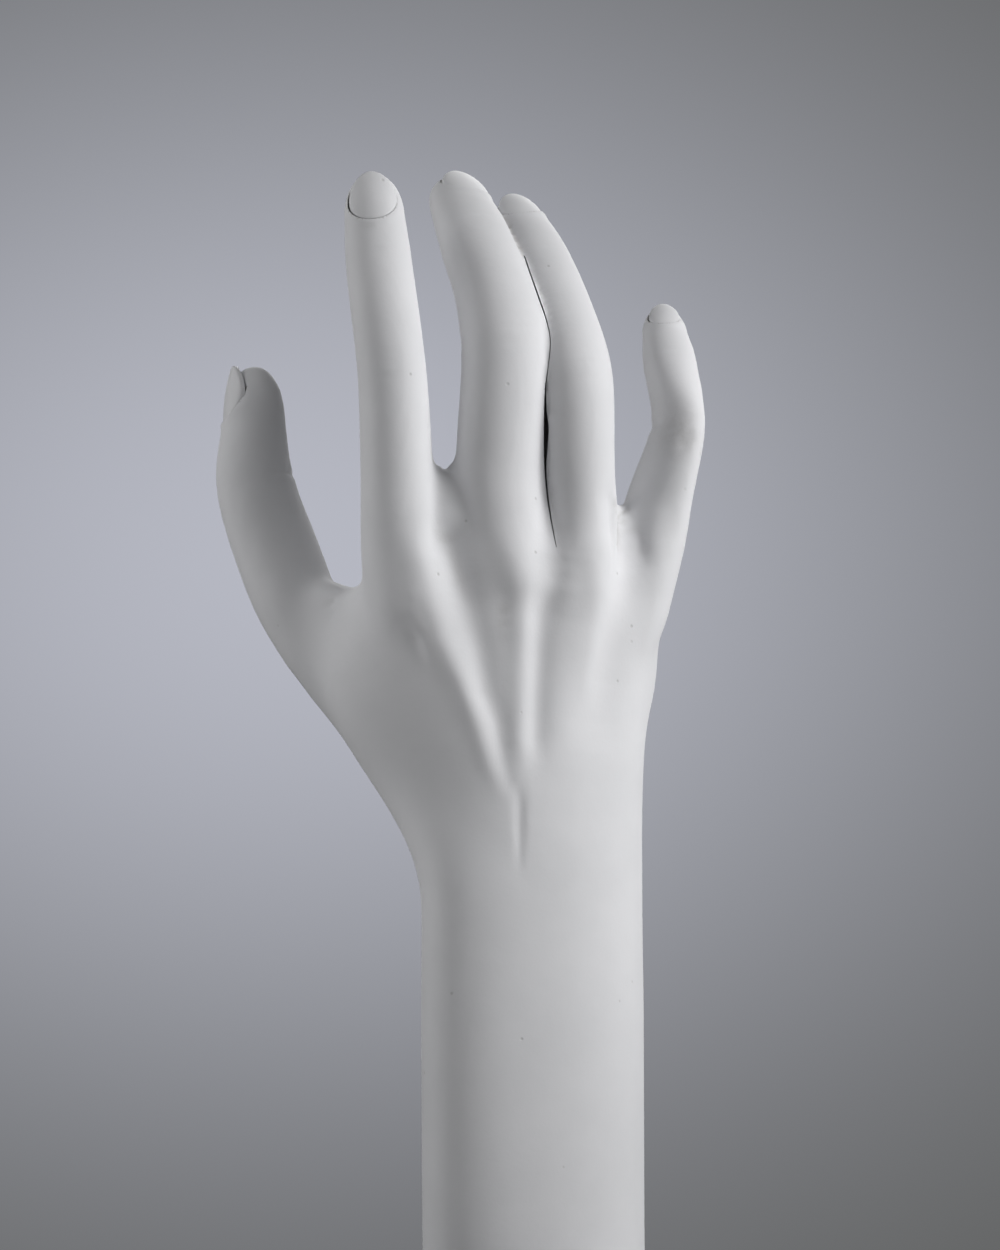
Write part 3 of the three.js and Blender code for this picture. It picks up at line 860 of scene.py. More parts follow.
@dataclass
class Shader:
    """Short ways to add and link the nodes of one material.

    A Mix node has sockets of one name for each kind of value, so its colour sockets go by their numbers.
    """

    MIX_SHARE, MIX_FIRST, MIX_SECOND, MIX_RESULT = 0, 6, 7, 2
    MID_NOISE = (0.35, 0.65)
    MOST_NOISE = (0.3, 0.7)

    material: bpy.types.Material

    def __post_init__(self) -> None:
        """Starts from a clean Principled BSDF."""
        self.material.use_nodes = True
        self.nodes, self.links = self.material.node_tree.nodes, self.material.node_tree.links
        self.bsdf = self.nodes["Principled BSDF"]
        self.coords = self.nodes.new("ShaderNodeTexCoord").outputs["Object"]

    def plug(self, socket: bpy.types.NodeSocket, value: object) -> None:
        """Links another node's output to an input, or sets a plain value on it.

        Args:
            socket: the input.
            value: the other output or the plain value.
        """
        if isinstance(value, bpy.types.NodeSocket):
            self.links.new(value, socket)
        else:
            socket.default_value = value

    def node(self, kind: str, inputs: dict[str | int, object], **settings: object) -> bpy.types.Node:
        """Adds a node.

        Args:
            kind: the node's type without its ShaderNode prefix.
            inputs: plain values or other nodes' sockets by the input's name or number.
            settings: the node's own properties.

        Returns:
            The node.
        """
        made = self.nodes.new(f"ShaderNode{kind}")
        for name, value in settings.items():
            setattr(made, name, value)
        for name, value in inputs.items():
            self.plug(made.inputs[name], value)
        return made

    def noise(self, scale: float, detail: float = 4.0, roughness: float = 0.55) -> bpy.types.NodeSocket:
        """Returns a noise pattern's factor on the piece's own coordinates."""
        inputs = {"Vector": self.coords, "Scale": scale, "Detail": detail, "Roughness": roughness}
        return self.node("TexNoise", inputs).outputs["Fac"]

    def span(self, value: bpy.types.NodeSocket, start: Span, end: Span = (0, 1)) -> bpy.types.NodeSocket:
        """Returns a value mapped from one span to another."""
        ends = dict(zip(("From Min", "From Max", "To Min", "To Max"), (*start, *end)))
        return self.node("MapRange", {"Value": value, **ends}).outputs["Result"]

    def blend(self, share: bpy.types.NodeSocket, first: object, second: object) -> bpy.types.NodeSocket:
        """Returns a colour between two others, each of them plain or a pattern."""
        inputs = {self.MIX_SHARE: share, self.MIX_FIRST: first, self.MIX_SECOND: second}
        return self.node("Mix", inputs, data_type="RGBA").outputs[self.MIX_RESULT]

    def times(self, first: bpy.types.NodeSocket, second: bpy.types.NodeSocket) -> bpy.types.NodeSocket:
        """Returns the product of two patterns."""
        return self.node("Math", {0: first, 1: second}, operation="MULTIPLY").outputs[0]

    def bump(
        self,
        height: bpy.types.NodeSocket,
        strength: float,
        depth: float,
        under: bpy.types.NodeSocket | None = None,
    ) -> bpy.types.NodeSocket:
        """Presses a height pattern into a face.

        Args:
            height: the pattern.
            strength: how much of it shows, from 0 to 1.
            depth: how deep it is, in metres.
            under: a normal that it is laid over.

        Returns:
            The normal.
        """
        inputs = {"Height": height, "Strength": strength, "Distance": depth}
        if under is not None:
            inputs["Normal"] = under
        return self.node("Bump", inputs).outputs["Normal"]

    def press(self, relief: Relief, under: bpy.types.NodeSocket | None = None) -> bpy.types.NodeSocket:
        """Returns a normal with a relief pressed into it."""
        height = self.noise(relief.scale, relief.detail, relief.roughness)
        return self.bump(height, relief.strength, relief.depth, under)

    def feed(self, **inputs: object) -> None:
        """Links patterns to the shader's inputs or sets values on them, by names with underscores."""
        for name, value in inputs.items():
            self.plug(self.bsdf.inputs[name.replace("_", " ")], value)


@dataclass(frozen=True)
class PlasterFinish:
    """Cast plaster: nearly white, matt, with a fine grain and small pits, and dust and painted shade in its
    folds.
    """

    name: str = "cast_plaster"
    light: Colour = (0.797, 0.797, 0.815, 1)
    dull: Colour = (0.752, 0.754, 0.772, 1)
    cloud_scale: float = 38.0
    roughness: Span = (0.58, 0.72)
    patch_scale: float = 90.0
    specular: float = 0.3
    # Dust and painted shade that darken the folds and the smudges, read from the skin's fold attribute
    paints_dust_and_shade: bool = True
    dust_and_shade: Colour = (0.36, 0.345, 0.325, 1)
    dust_and_shade_scale: float = 260.0
    dust_and_shade_detail: float = 5.0
    dust_and_shade_roughness: float = 0.7
    dust_and_shade_noise: Span = (0.35, 0.7)
    dust_and_shade_shares: Span = (0.35, 1.0)
    pit_scale: float = 300.0
    pit_rarity: Span = (0.965, 0.985)
    pit_rim: Span = (0.06, 0.16)
    pit_stain: float = 0.35
    pit_strength: float = 0.35
    pit_depth: float = 0.0003
    grain: Relief = Relief(scale=1500, detail=4, roughness=0.6, strength=0.1, depth=0.0002)
    waves: Relief = Relief(scale=160, detail=3, roughness=0.5, strength=0.12, depth=0.0006)

    def make(self) -> bpy.types.Material:
        """Makes the finish.

        Returns:
            The material.
        """
        shader = Shader(bpy.data.materials.new(self.name))
        cloudy = shader.span(shader.noise(self.cloud_scale), shader.MID_NOISE)
        colour = shader.blend(cloudy, self.light, self.dull)
        pits = shader.node("TexVoronoi", {"Vector": shader.coords, "Scale": self.pit_scale, "Randomness": 1.0})
        lot = shader.node("SeparateColor", {"Color": pits.outputs["Color"]}).outputs["Red"]
        hole = shader.span(pits.outputs["Distance"], self.pit_rim, (1, 0))
        pit = shader.times(hole, shader.span(lot, self.pit_rarity))
        # Paints dust and painted shade where the fold attribute is high: in the hollows and on the smudges of
        # painted shade
        if self.paints_dust_and_shade:
            fold = shader.node("Attribute", {}, attribute_name="fold").outputs["Fac"]
            patches = shader.noise(self.dust_and_shade_scale, self.dust_and_shade_detail, self.dust_and_shade_roughness)
            dust_and_shade_mask = shader.times(fold, shader.span(patches, self.dust_and_shade_noise, self.dust_and_shade_shares))
            colour = shader.blend(dust_and_shade_mask, colour, self.dust_and_shade)
        colour = shader.blend(shader.span(pit, (0, 1), (0, self.pit_stain)), colour, self.dust_and_shade)
        face = shader.press(self.waves, shader.press(self.grain))
        shader.feed(
            Base_Color=colour,
            Roughness=shader.span(shader.noise(self.patch_scale), shader.MOST_NOISE, self.roughness),
            Normal=shader.bump(shader.span(pit, (0, 1), (1, 0)), self.pit_strength, self.pit_depth, face),
            Specular_IOR_Level=self.specular,
        )
        return shader.material


@dataclass(frozen=True)
class MetalFinish:
    """Bare or plated metal with drawing lines along its length and dull spots."""

    name: str
    light: Colour
    dull: Colour
    roughness: Span
    line_scales: Place = (900.0, 900.0, 40.0)
    line_detail: float = 3.0
    line_strength: float = 0.15
    line_depth: float = 0.0002
    spot_scale: float = 140.0

    def make(self) -> bpy.types.Material:
        """Makes the finish.

        Returns:
            The material.
        """
        shader = Shader(bpy.data.materials.new(self.name))
        drawn = shader.node("Mapping", {"Vector": shader.coords, "Scale": self.line_scales}).outputs[0]
        pattern = {"Vector": drawn, "Scale": 1.0, "Detail": self.line_detail}
        lines = shader.node("TexNoise", pattern).outputs["Fac"]
        spots = shader.span(shader.noise(self.spot_scale), shader.MID_NOISE)
        shader.feed(
            Base_Color=shader.blend(spots, self.light, self.dull),
            Roughness=shader.span(lines, shader.MOST_NOISE, self.roughness),
            Normal=shader.bump(lines, self.line_strength, self.line_depth),
            Metallic=1.0,
        )
        return shader.material


@dataclass(frozen=True)
class FeltFinish:
    """Pressed felt: dark, with matted fibres and pale flecks."""

    name: str = "pressed_felt"
    light: Colour = (0.085, 0.09, 0.095, 1)
    dark: Colour = (0.045, 0.048, 0.052, 1)
    roughness: Span = (0.88, 1.0)
    fibres: Relief = Relief(scale=900, detail=6, roughness=0.75, strength=0.6, depth=0.0006)
    specular: float = 0.1
    sheen: float = 0.35
    sheen_roughness: float = 0.6

    def make(self) -> bpy.types.Material:
        """Makes the finish.

        Returns:
            The material.
        """
        shader = Shader(bpy.data.materials.new(self.name))
        fibres = shader.noise(self.fibres.scale, self.fibres.detail, self.fibres.roughness)
        shader.feed(
            Base_Color=shader.blend(shader.span(fibres, shader.MID_NOISE), self.dark, self.light),
            Roughness=shader.span(fibres, shader.MOST_NOISE, self.roughness),
            Normal=shader.bump(fibres, self.fibres.strength, self.fibres.depth),
            Specular_IOR_Level=self.specular,
            Sheen_Weight=self.sheen,
            Sheen_Roughness=self.sheen_roughness,
        )
        return shader.material


def coat(piece: bpy.types.Object, material: bpy.types.Material) -> None:
    """Gives a piece one material and nothing else."""
    piece.data.materials.clear()
    piece.data.materials.append(material)


def place_piece(piece: bpy.types.Object, slot: str, *nodes: str) -> None:
    """Rides a piece on the one body, in the place of its CAD nodes.

    Args:
        piece: the finished piece.
        slot: the record's material slot, which is not used.
        nodes: the CAD nodes that it stands for.
    """
    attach(piece, BODY)
    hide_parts(*nodes)
    faces = sum(len(polygon.vertices) - 2 for polygon in piece.data.polygons)
    log.info("%s stands for %s with %d triangles", piece.name, ", ".join(nodes), faces)


def smooth_shade(piece: bpy.types.Object, angle: float) -> None:
    """Shades a piece smoothly over edges flatter than an angle in degrees."""
    make_active(piece)
    bpy.ops.object.shade_smooth_by_angle(angle=math.radians(angle))


@dataclass
class Nail:
    """A nail plate, crowned both ways, that lies in its seat at the end of a digit.

    Over and under are its rings: their share of the way to the rim, and their height over the face or over the
    underside.
    """

    digit: Digit
    pitch: float = 8.0
    thickness: float = 1.3
    proud: float = 0.3
    end_drop: float = 0.6
    taper: float = 0.12
    inset: float = 1.4
    seat_aside: float = -0.2
    seat_air: float = 4.0
    sides: int = 64
    core: float = 0.05
    least_crown: float = 0.04
    smooth_angle: float = 60.0
    over: tuple[Span, ...] = (
        (1.0, -0.35), (0.985, -0.12), (0.95, -0.02), (0.88, 0.0),
        (0.7, 0.0), (0.45, 0.0), (0.2, 0.0), (0.05, 0.0),
    )
    under: tuple[Span, ...] = ((0.05, 0.0), (0.5, 0.0), (0.97, 0.0), (1.0, 0.2))

    def __post_init__(self) -> None:
        """Works out where the nail's middle and its directions are."""
        base = self.digit.frame(self.digit.nail_station)
        tip = self.digit.joints[-1]
        tilt = math.radians(self.pitch)
        self.lengthwise = base.along * math.cos(tilt) + np.cross(base.across, base.along) * -math.sin(tilt)
        self.outward = base.dorsal * math.cos(tilt) + np.cross(base.across, base.dorsal) * -math.sin(tilt)
        self.across = base.across
        self.half_breadth, self.half_depth = base.breadth, base.depth
        seat = base.centre + base.dorsal * (base.depth + self.proud)
        reach = (tip - seat) @ self.lengthwise
        self.middle = seat + self.lengthwise * (reach - self.inset - self.digit.nail_length / 2)

    def oval(
        self, reach: np.ndarray, angle: np.ndarray, lift: np.ndarray, grow: float, aside: float
    ) -> np.ndarray:
        """Returns places on the crowned plate.

        Args:
            reach: the share of the way from the middle to the rim.
            angle: the direction round the middle.
            lift: the height over the plate's face.
            grow: how much larger the oval is all round.
            aside: how far it is moved across the digit.

        Returns:
            The places in millimetres.
        """
        taper = 1 - self.taper * np.sin(angle)
        sideways = reach * np.cos(angle) * taper * (self.digit.nail_width / 2 + grow)
        endways = reach * np.sin(angle) * (self.digit.nail_length / 2 + grow)
        inside = np.clip(1 - (sideways / self.half_breadth) ** 2, self.least_crown, 1)
        drop = self.half_depth * (1 - np.sqrt(inside))
        drop = drop + self.end_drop * (2 * endways / self.digit.nail_length) ** 2
        flat = self.middle + (sideways + aside)[:, None] * self.across + endways[:, None] * self.lengthwise
        return flat + (lift - drop)[:, None] * self.outward

    def plate(
        self, name: str, rings: Sequence[Span], grow: float = 0, aside: float = 0
    ) -> bpy.types.Object:
        """Lays a closed plate through rings.

        Args:
            name: the plate's name.
            rings: each ring's reach and lift.
            grow: how much larger the oval is all round.
            aside: how far it is moved across the digit.

        Returns:
            The plate's object.
        """
        reaches, lifts = np.array(rings).T
        tube = extrude_tube(name, self.sides, len(rings))
        lay_tube(tube, lambda ring, angle: self.oval(reaches[ring], angle, lifts[ring], grow, aside))
        return tube

    def build(self) -> bpy.types.Object:
        """Builds the nail.

        Returns:
            The nail's object.
        """
        under = [(reach, lift - self.thickness) for reach, lift in self.under]
        piece = self.plate(f"{self.digit.name.value}_nail_plate", [*under, *self.over])
        smooth_shade(piece, self.smooth_angle)
        return piece

    def dress(self, piece: bpy.types.Object, material: bpy.types.Material) -> None:
        """Gives the nail its finish and its place in the frame."""
        coat(piece, material)
        place_piece(piece, "nail_plaster", f"{self.digit.name.value}_nail")

    def cutter(self, gap: float) -> bpy.types.Object:
        """Builds the shape of the seat, with open air above it.

        Args:
            gap: the clearance round the nail.

        Returns:
            The cutter's object.
        """
        floor = -self.thickness - gap
        rings = ((self.core, floor), (1.0, floor), (1.0, self.seat_air), (self.core, self.seat_air))
        return self.plate(f"{self.digit.name.value}_nail_seat", rings, gap, self.seat_aside)

    def rim_distance(self, points: np.ndarray) -> tuple[np.ndarray, np.ndarray, np.ndarray]:
        """Measures where points lie round the nail.

        Args:
            points: places in millimetres.

        Returns:
            How far they lie outside the rim, the share of the way along the nail, and how far over its face.
        """
        gap = points - self.middle
        sideways, endways = gap @ self.across, gap @ self.lengthwise
        u, v = sideways / (self.digit.nail_width / 2), endways / (self.digit.nail_length / 2)
        reach = np.hypot(u, v)
        size = np.hypot(sideways, endways) / np.maximum(reach, TINY)
        return (reach - 1) * size, v, gap @ self.outward


@dataclass(frozen=True)
class Slit:
    """A thin crevice in the back of the hand.

    Its rows are places along it: across, up, half its thickness and how far back its floor lies.
    """

    name: str
    rows: tuple[tuple[float, float, float, float], ...]
    front: float = -40.0
    sides: int = 8
    rings: int = 60
    squareness: float = 1.5

    def cutter(self) -> bpy.types.Object:
        """Builds the upright ribbon that cuts the crevice, with its front out in the air.

        Returns:
            The cutter's object.
        """
        curve = Curve(np.array(self.rows, float))
        path = np.array([curve.at(share) for share in np.linspace(0, 1, self.rings)])
        tube = extrude_tube(self.name, self.sides, self.rings)

        def place(ring: np.ndarray, angle: np.ndarray) -> np.ndarray:
            """Returns places on flat oblong sections.

            Args:
                ring: the rings' numbers.
                angle: the angles round them.

            Returns:
                The places in millimetres.
            """
            wide, deep = (np.clip(self.squareness * turn(angle), -1, 1) for turn in (np.cos, np.sin))
            x, z, half, floor = path[ring].T
            y = self.front + (floor - self.front) * (deep + 1) / 2
            return np.stack([x + half * wide, y, z], axis=1)

        lay_tube(tube, place)
        return tube


@dataclass
class HandSkin:
    """The casting's skin from the foot to the fingertips, in one piece.

    The smudges are painted shade, one of them partly dirt, in rows of across, up, radius and strength, and webs
    are places between the fingers. Knead_rise and soften_rise are heights over the wrist, knead_end and
    soften_end are stations on the digits.
    """

    digits: dict[DigitName, Digit]
    nails: list[Nail]
    arm: Arm = field(default_factory=Arm)
    finish: PlasterFinish = PlasterFinish()
    voxel: float = 0.94
    rough_voxel: float = 2.0
    palm_levels: int = 2
    knead_rounds: int = 160
    knead_rise: Span = (-45.0, -10.0)
    knead_end: Span = (0.8, 1.3)
    knead_least: float = 0.02
    soften_rounds: int = 60
    soften_rise: Span = (-10.0, 6.0)
    soften_end: Span = (0.0, 0.36)
    foot_rise: Span = (0.4, 3.5)
    web_rounds: int = 120
    web_reach: float = 7.0
    crown_share: float = 0.12
    even_rounds: int = 4
    even_pace: float = 0.5
    arm_sides: int = 96
    arm_rings: int = 150
    digit_sides: int = 40
    digit_rings: int = 80
    stub_end: float = 0.12
    stub_rings: int = 24
    stroke_facing: Span = (0.05, 0.5)
    crease_wrap: Span = (0.0, 0.55)
    crease_reach: float = 0.4
    bed_height: float = 5.0
    bed_reach: float = 6.0
    bed_offset: float = 0.7
    bed_width: float = 1.1
    bed_root: Span = (0.1, 0.8)
    bed_swell: float = 0.35
    dust_and_shade_rounds: int = 4
    dust_and_shade_hollow: Span = (0.02, 0.12)
    recess_radius: float = 18.3
    recess_top: float = 18.3
    recess_sides: int = 96
    seat_gap: float = 0.22
    smooth_angle: float = 50.0
    fork_stations: Span = (1.2, -0.2)
    thumb_pad: Pad = Pad("thumb_pad", share=0.4, across=7, back=3, width=28, depth=26, length=62)
    little_pad: Pad = Pad("little_pad", share=0.4, across=1, back=8, width=26, depth=24, length=74)
    fork_pad: Pad = Pad("fork_pad", share=0.33, across=0, back=0, width=19, depth=14, length=40)
    slits: tuple[Slit, ...] = (
        Slit("middle_ring_crevice", (
            (5.0, 207, 0.08, -10), (3.9, 213, 0.15, -8), (3.0, 219, 0.2, -6), (2.4, 226, 0.25, -4.5),
            (2.5, 231.5, 0.5, -3.5), (2.6, 236, 0.6, -3.2), (2.4, 240, 0.35, -3.2), (2.5, 246, 0.15, -3),
            (3.2, 251.5, 0.1, -3), (3.6, 257, 0.1, -2), (2.7, 262, 0.15, -1), (1.1, 267, 0.22, 1),
            (-0.8, 273, 0.2, 4), (-2.6, 279, 0.15, 9),
        )),
    )
    # Smudges of painted shade: a dark line in the groove beside the middle finger's tendon, the dark notch
    # between the ring and little fingers, and a dark patch at the little finger's joint that is partly dirt and
    # partly painted shade
    shade_and_dirt_smudges: tuple[tuple[float, float, float, float], ...] = (
        (34.8, 236, 6, 0.4), (31, 240, 7, 0.2), (-7.6, 192, 1.6, 0.35), (-7.5, 189, 1.6, 0.35),
        (-7.4, 186, 1.6, 0.2), (19.8, 218, 1.1, 0.8), (20.4, 216, 1.0, 0.7), (21.2, 213.5, 1.0, 0.5),
    )
    webs: tuple[Place, ...] = ((-22.5, -4, 226), (-19.5, -4, 226), (4.1, -2, 214), (20.5, 4, 219))

    def fuse(self) -> bpy.types.Object:
        """Fuses the plain flesh of all parts.

        Returns:
            One closed skin.
        """
        thumb, index = self.digits[DigitName.THUMB], self.digits[DigitName.INDEX]
        fork_start, fork_end = self.fork_stations
        fingers = [digit for digit in self.digits.values() if digit is not thumb]
        body = [
            self.arm.flesh(self.digits, self.arm_sides, self.arm_rings),
            thumb.flesh(self.digit_sides, self.digit_rings),
            *(finger.stub(self.stub_end, self.digit_sides, self.stub_rings) for finger in fingers),
            self.thumb_pad.flesh(thumb.joints[0], thumb.joints[1]),
            self.little_pad.flesh(self.arm.WRIST, self.digits[DigitName.LITTLE].joints[0]),
            self.fork_pad.flesh(thumb.frame(fork_start).centre, index.frame(fork_end).centre),
        ]
        palm = join_pieces("palm", body)
        apply_modifier(palm, "REMESH", mode="VOXEL", voxel_size=self.rough_voxel * MM)
        self.knead(palm, thumb)
        apply_modifier(palm, "SUBSURF", levels=self.palm_levels, render_levels=self.palm_levels)
        whole = [finger.flesh(self.digit_sides, self.digit_rings) for finger in fingers]
        skin = join_pieces("hand_skin", [palm, *whole])
        apply_modifier(skin, "REMESH", mode="VOXEL", voxel_size=self.voxel * MM, use_smooth_shade=True)
        return skin

    def knead(self, palm: bpy.types.Object, thumb: Digit) -> None:
        """Works the wrist, the pads and the root of the thumb into one mass, and leaves the rest as it is.

        Args:
            palm: the fused flesh without the fingers.
            thumb: the digit whose end is left out.
        """
        points = read_points(palm)
        places = DigitPlaces.find(points, {thumb.name: thumb})
        weights = smoothstep(*self.arm.over_wrist(self.knead_rise), points[:, 2])
        on_thumb = np.where(places.owner >= 0, smoothstep(*self.knead_end, places.station), 0)
        weights *= 1 - on_thumb
        fill_hollows(palm, np.maximum(weights, self.knead_least), self.knead_rounds, self.crown_share)

    def soften(self, skin: bpy.types.Object) -> None:
        """Blends the fingers into the palm and rounds the webs, and takes the steps off the rest.

        Args:
            skin: the fused skin.
        """
        points = read_points(skin)
        places = DigitPlaces.find(points, self.digits)
        palm = smoothstep(*self.arm.over_wrist(self.soften_rise), points[:, 2])
        on_digit = np.where(places.owner >= 0, smoothstep(*self.soften_end, places.station), 0)
        on_digit = np.where(places.owner == list(self.digits).index(DigitName.THUMB), 1, on_digit)
        weights = palm * (1 - on_digit)
        away = np.min([np.linalg.norm(points - np.array(web), axis=1) for web in self.webs], axis=0)
        near_web = np.exp(-((away / self.web_reach) ** 2))
        foot = smoothstep(*(self.arm.foot + np.array(self.foot_rise)), points[:, 2])
        fill_hollows(skin, weights * foot, self.soften_rounds, self.crown_share)
        fill_hollows(skin, near_web, self.web_rounds, self.crown_share)
        group = weigh(skin, "blend", foot)
        apply_modifier(skin, "SMOOTH", factor=self.even_pace, iterations=self.even_rounds, vertex_group=group)
        skin.vertex_groups.clear()

    def strokes(self) -> list[Stroke]:
        """Lists the strokes that shape the back of the hand and the palm.

        Returns:
            The strokes, whose touches are across, up, width and height.
        """
        palm = Side.PALM
        return [
            # Tendon of the index finger, from its knuckle to the wrist
            stroke((-28, 213, 9, 0.5), (-27.1, 203.8, 8, 1.4), (-25.7, 194.3, 7, 1.2),
                   (-22.9, 184.7, 5.8, 1.4), (-18.1, 175.1, 5, 1.2), (-14.5, 165.6, 4.6, 1.0),
                   (-11.4, 156, 4.2, 0.6), (-8.5, 149, 4, 0.1)),
            # Fine second tendon beside it, with a small hollow on its thumb side
            stroke((-30, 191.5, 3, 0.3), (-27.5, 187, 3, 0.6), (-25, 181, 3, 0.5), (-21, 174, 3, 0.1)),
            stroke((-31, 188, 5, -0.3), (-29, 184.7, 5, -0.5), (-27, 178, 5, -0.2)),
            # Tendon of the middle finger
            stroke((-4.3, 205, 9, 0.8), (-3.6, 196, 6, 0.8), (-3.6, 184.7, 5, 0.9), (-3.7, 170, 4.6, 0.8),
                   (-3.8, 160.8, 4.4, 0.7), (-3.3, 155, 4, 0.2)),
            # Valleys between the tendons
            stroke((-20.6, 208.6, 7.5, -2.1), (-17.8, 199, 7.5, -2.4), (-15.2, 189.5, 7.5, -1.7),
                   (-13.3, 182, 6.5, -1.4), (-11.5, 172.5, 5.5, -1.1), (-9, 165.6, 4.6, -0.8),
                   (-7.8, 156, 4, -0.5), (-6.2, 150.5, 3.2, -0.3), (-4.4, 147, 2.4, -0.05)),
            stroke((4.4, 205, 5, 0.0), (4.4, 199, 5, -0.5), (1.4, 190, 5, -0.6), (1, 180, 4.6, -0.7),
                   (0.4, 170, 4.4, -0.7), (0.2, 161, 4.4, -0.6), (1, 155, 4, -0.1)),
            stroke((20, 218, 5, -1.6), (21.6, 211, 6.5, -2.6), (22, 205, 6.5, -2.4), (20.8, 196, 7, -2.0),
                   (18.6, 187, 8, -1.7), (17.2, 175, 8, -1.5), (16.2, 166, 8, -0.7), (15.5, 157, 8, 0.0)),
            # Broad tendon of the ring finger
            stroke((11.6, 207, 11, 1.3), (10.6, 199, 10, 0.8), (8.2, 189.5, 8, 0.6), (6.3, 170.4, 8, 0.6),
                   (6.5, 160.8, 8, 0.4), (8, 150, 9, 0.2)),
            # Fullness between the knuckles of the middle and ring fingers
            stroke((6.6, 211, 6, 0.3), (7.4, 204.5, 8, 1.4), (7.2, 198, 8, 0.8), (6.4, 189, 7, 0.0)),
            # Root of the little finger, full beside the ring finger
            stroke((28.6, 219, 6, 0.0), (28, 214, 7.5, 1.1), (27.6, 208, 8, 1.5), (27, 202, 8.5, 1.0),
                   (26, 194, 8.5, 0.0)),
            # Soft step under the middle finger's knuckle
            stroke((-7, 202, 9, 0.0), (-4, 201.5, 9, 0.6), (1, 200.5, 9, 0.6), (5, 199.5, 9, 0.0)),
            stroke((-9, 192.5, 8, 0.0), (-6, 193, 8, -0.4), (1, 192.7, 8, -0.4), (6, 192.5, 8, 0.0)),
            # Chipped spots on the little finger
            dab(26.9, 258.1, 1.8, -0.35), dab(29.1, 247.7, 1.8, -0.35), dab(36.3, 232.9, 2, -0.4),
            dab(38, 234.4, 2, -0.3), dab(31.4, 237.3, 1.6, -0.2),
            # Furrow where the tendons meet above the wrist
            stroke((-3.8, 149.5, 2.4, -0.15), (-3.8, 145, 2.2, -0.5), (-3.8, 139.3, 1.8, -0.5),
                   (-3.8, 130, 1.4, -0.1)),
            # Lines of the palm
            stroke((-30, 184, 2.2, -0.5), (-22, 179, 2.4, -1.0), (-13, 166, 2.4, -1.1),
                   (-8, 150, 2.2, -0.9), (-7, 141, 2, -0.2), side=palm),
            stroke((-30, 186, 2.2, -0.5), (-16, 184, 2.2, -0.9), (2, 177, 2.2, -0.8), (14, 168, 2, -0.2),
                   side=palm),
            stroke((-10, 203, 2, -0.2), (0, 196, 2.2, -0.8), (14, 190, 2.2, -0.9), (30, 190, 2, -0.4),
                   side=palm),
            stroke((-20, 135, 2, -0.2), (-6, 132.5, 2, -0.6), (8, 132.5, 2, -0.6), (20, 135, 2, -0.2),
                   side=palm),
        ]

    def creases(self) -> list[Crease]:
        """Lists the folds of the skin at the digits' joints.

        Returns:
            The folds, the thumb's fewer than the fingers'.
        """
        root, first, last = 0.46, 1.0, 2.0
        knuckle_folds = ((-0.055, -0.1), (0.0, -0.14), (0.05, -0.1))
        inner_folds = (first - 0.03, first + 0.05, last)
        bow_share = 0.3
        folds = []
        for name in self.digits:
            finger = name is not DigitName.THUMB
            for offset, height in knuckle_folds if finger else ():
                bow = offset * bow_share
                folds.append(Crease(name, first + offset, width=1.1, height=height, side=Side.BACK, bow=bow))
            folds.append(Crease(name, last, width=1.0, height=-0.12, side=Side.BACK))
            for station in inner_folds:
                folds.append(Crease(name, station, width=1.4, height=-0.5, side=Side.PALM))
            if finger:
                folds.append(Crease(name, root, width=1.6, height=-0.6, side=Side.PALM))
        return folds

    def crease_lift(self, crease: Crease, places: DigitPlaces) -> np.ndarray:
        """Works out how far a fold raises the points of its digit.

        Args:
            crease: the fold.
            places: where the points lie on their digits.

        Returns:
            The rise of each point, which holds for the fold's own digit alone.
        """
        toward = places.dorsal if crease.side is Side.BACK else -places.dorsal
        round_it = smoothstep(*self.crease_wrap, toward)
        if crease.side is Side.BACK:
            round_it = round_it * np.exp(-((places.across / self.crease_reach) ** 2))
        bow = crease.bow * (1 - places.across**2)
        away = (places.station - crease.station - bow) * places.bone
        return crease.height * round_it * bell(away, crease.width)

    def bed_lift(self, nail: Nail, points: np.ndarray) -> np.ndarray:
        """Works out how far the skin swells round the root of a nail.

        Args:
            nail: the nail.
            points: places in millimetres.

        Returns:
            The rise of each point.
        """
        beyond, along, over = nail.rim_distance(points)
        near = (np.abs(over) < self.bed_height) & (beyond < self.bed_reach)
        swell = np.exp(-(((beyond - self.bed_offset) / self.bed_width) ** 2))
        return np.where(near, swell * smoothstep(*self.bed_root, -along) * self.bed_swell, 0)

    def sculpt(self, skin: bpy.types.Object) -> None:
        """Works the knuckles, tendons, hollows, folds and nail beds into the skin.

        Args:
            skin: the softened skin.
        """
        points, normals = read_points(skin), read_normals(skin)
        facing = {side: smoothstep(*self.stroke_facing, side.value * normals[:, 1]) for side in Side}
        lift = np.zeros(len(points))
        for mark in self.strokes():
            lift += mark.lift(points) * facing[mark.side]
        write_points(skin, points + normals * lift[:, None])
        points, normals = read_points(skin), read_normals(skin)
        places = DigitPlaces.find(points, self.digits)
        names = list(self.digits)
        lift = np.zeros(len(points))
        for crease in self.creases():
            own = places.owner == names.index(crease.digit)
            lift += np.where(own, self.crease_lift(crease, places), 0)
        for nail in self.nails:
            lift += self.bed_lift(nail, points)
        write_points(skin, points + normals * lift[:, None])

    def cut_seats(self, skin: bpy.types.Object) -> None:
        """Cuts the nails' seats, the crevice between the middle and ring fingers and the recess under the foot.

        Args:
            skin: the sculpted skin.
        """
        deselect_all()
        bpy.ops.mesh.primitive_cylinder_add(
            vertices=self.recess_sides,
            radius=self.recess_radius * MM,
            depth=2 * self.recess_top * MM,
            location=(0, 0, 0),
        )
        cutters = [bpy.context.object, *(slit.cutter() for slit in self.slits)]
        cutters += [nail.cutter(self.seat_gap) for nail in self.nails]
        for cutter in cutters:
            apply_modifier(skin, "BOOLEAN", operation="DIFFERENCE", object=cutter, solver="MANIFOLD")
            bpy.data.objects.remove(cutter)

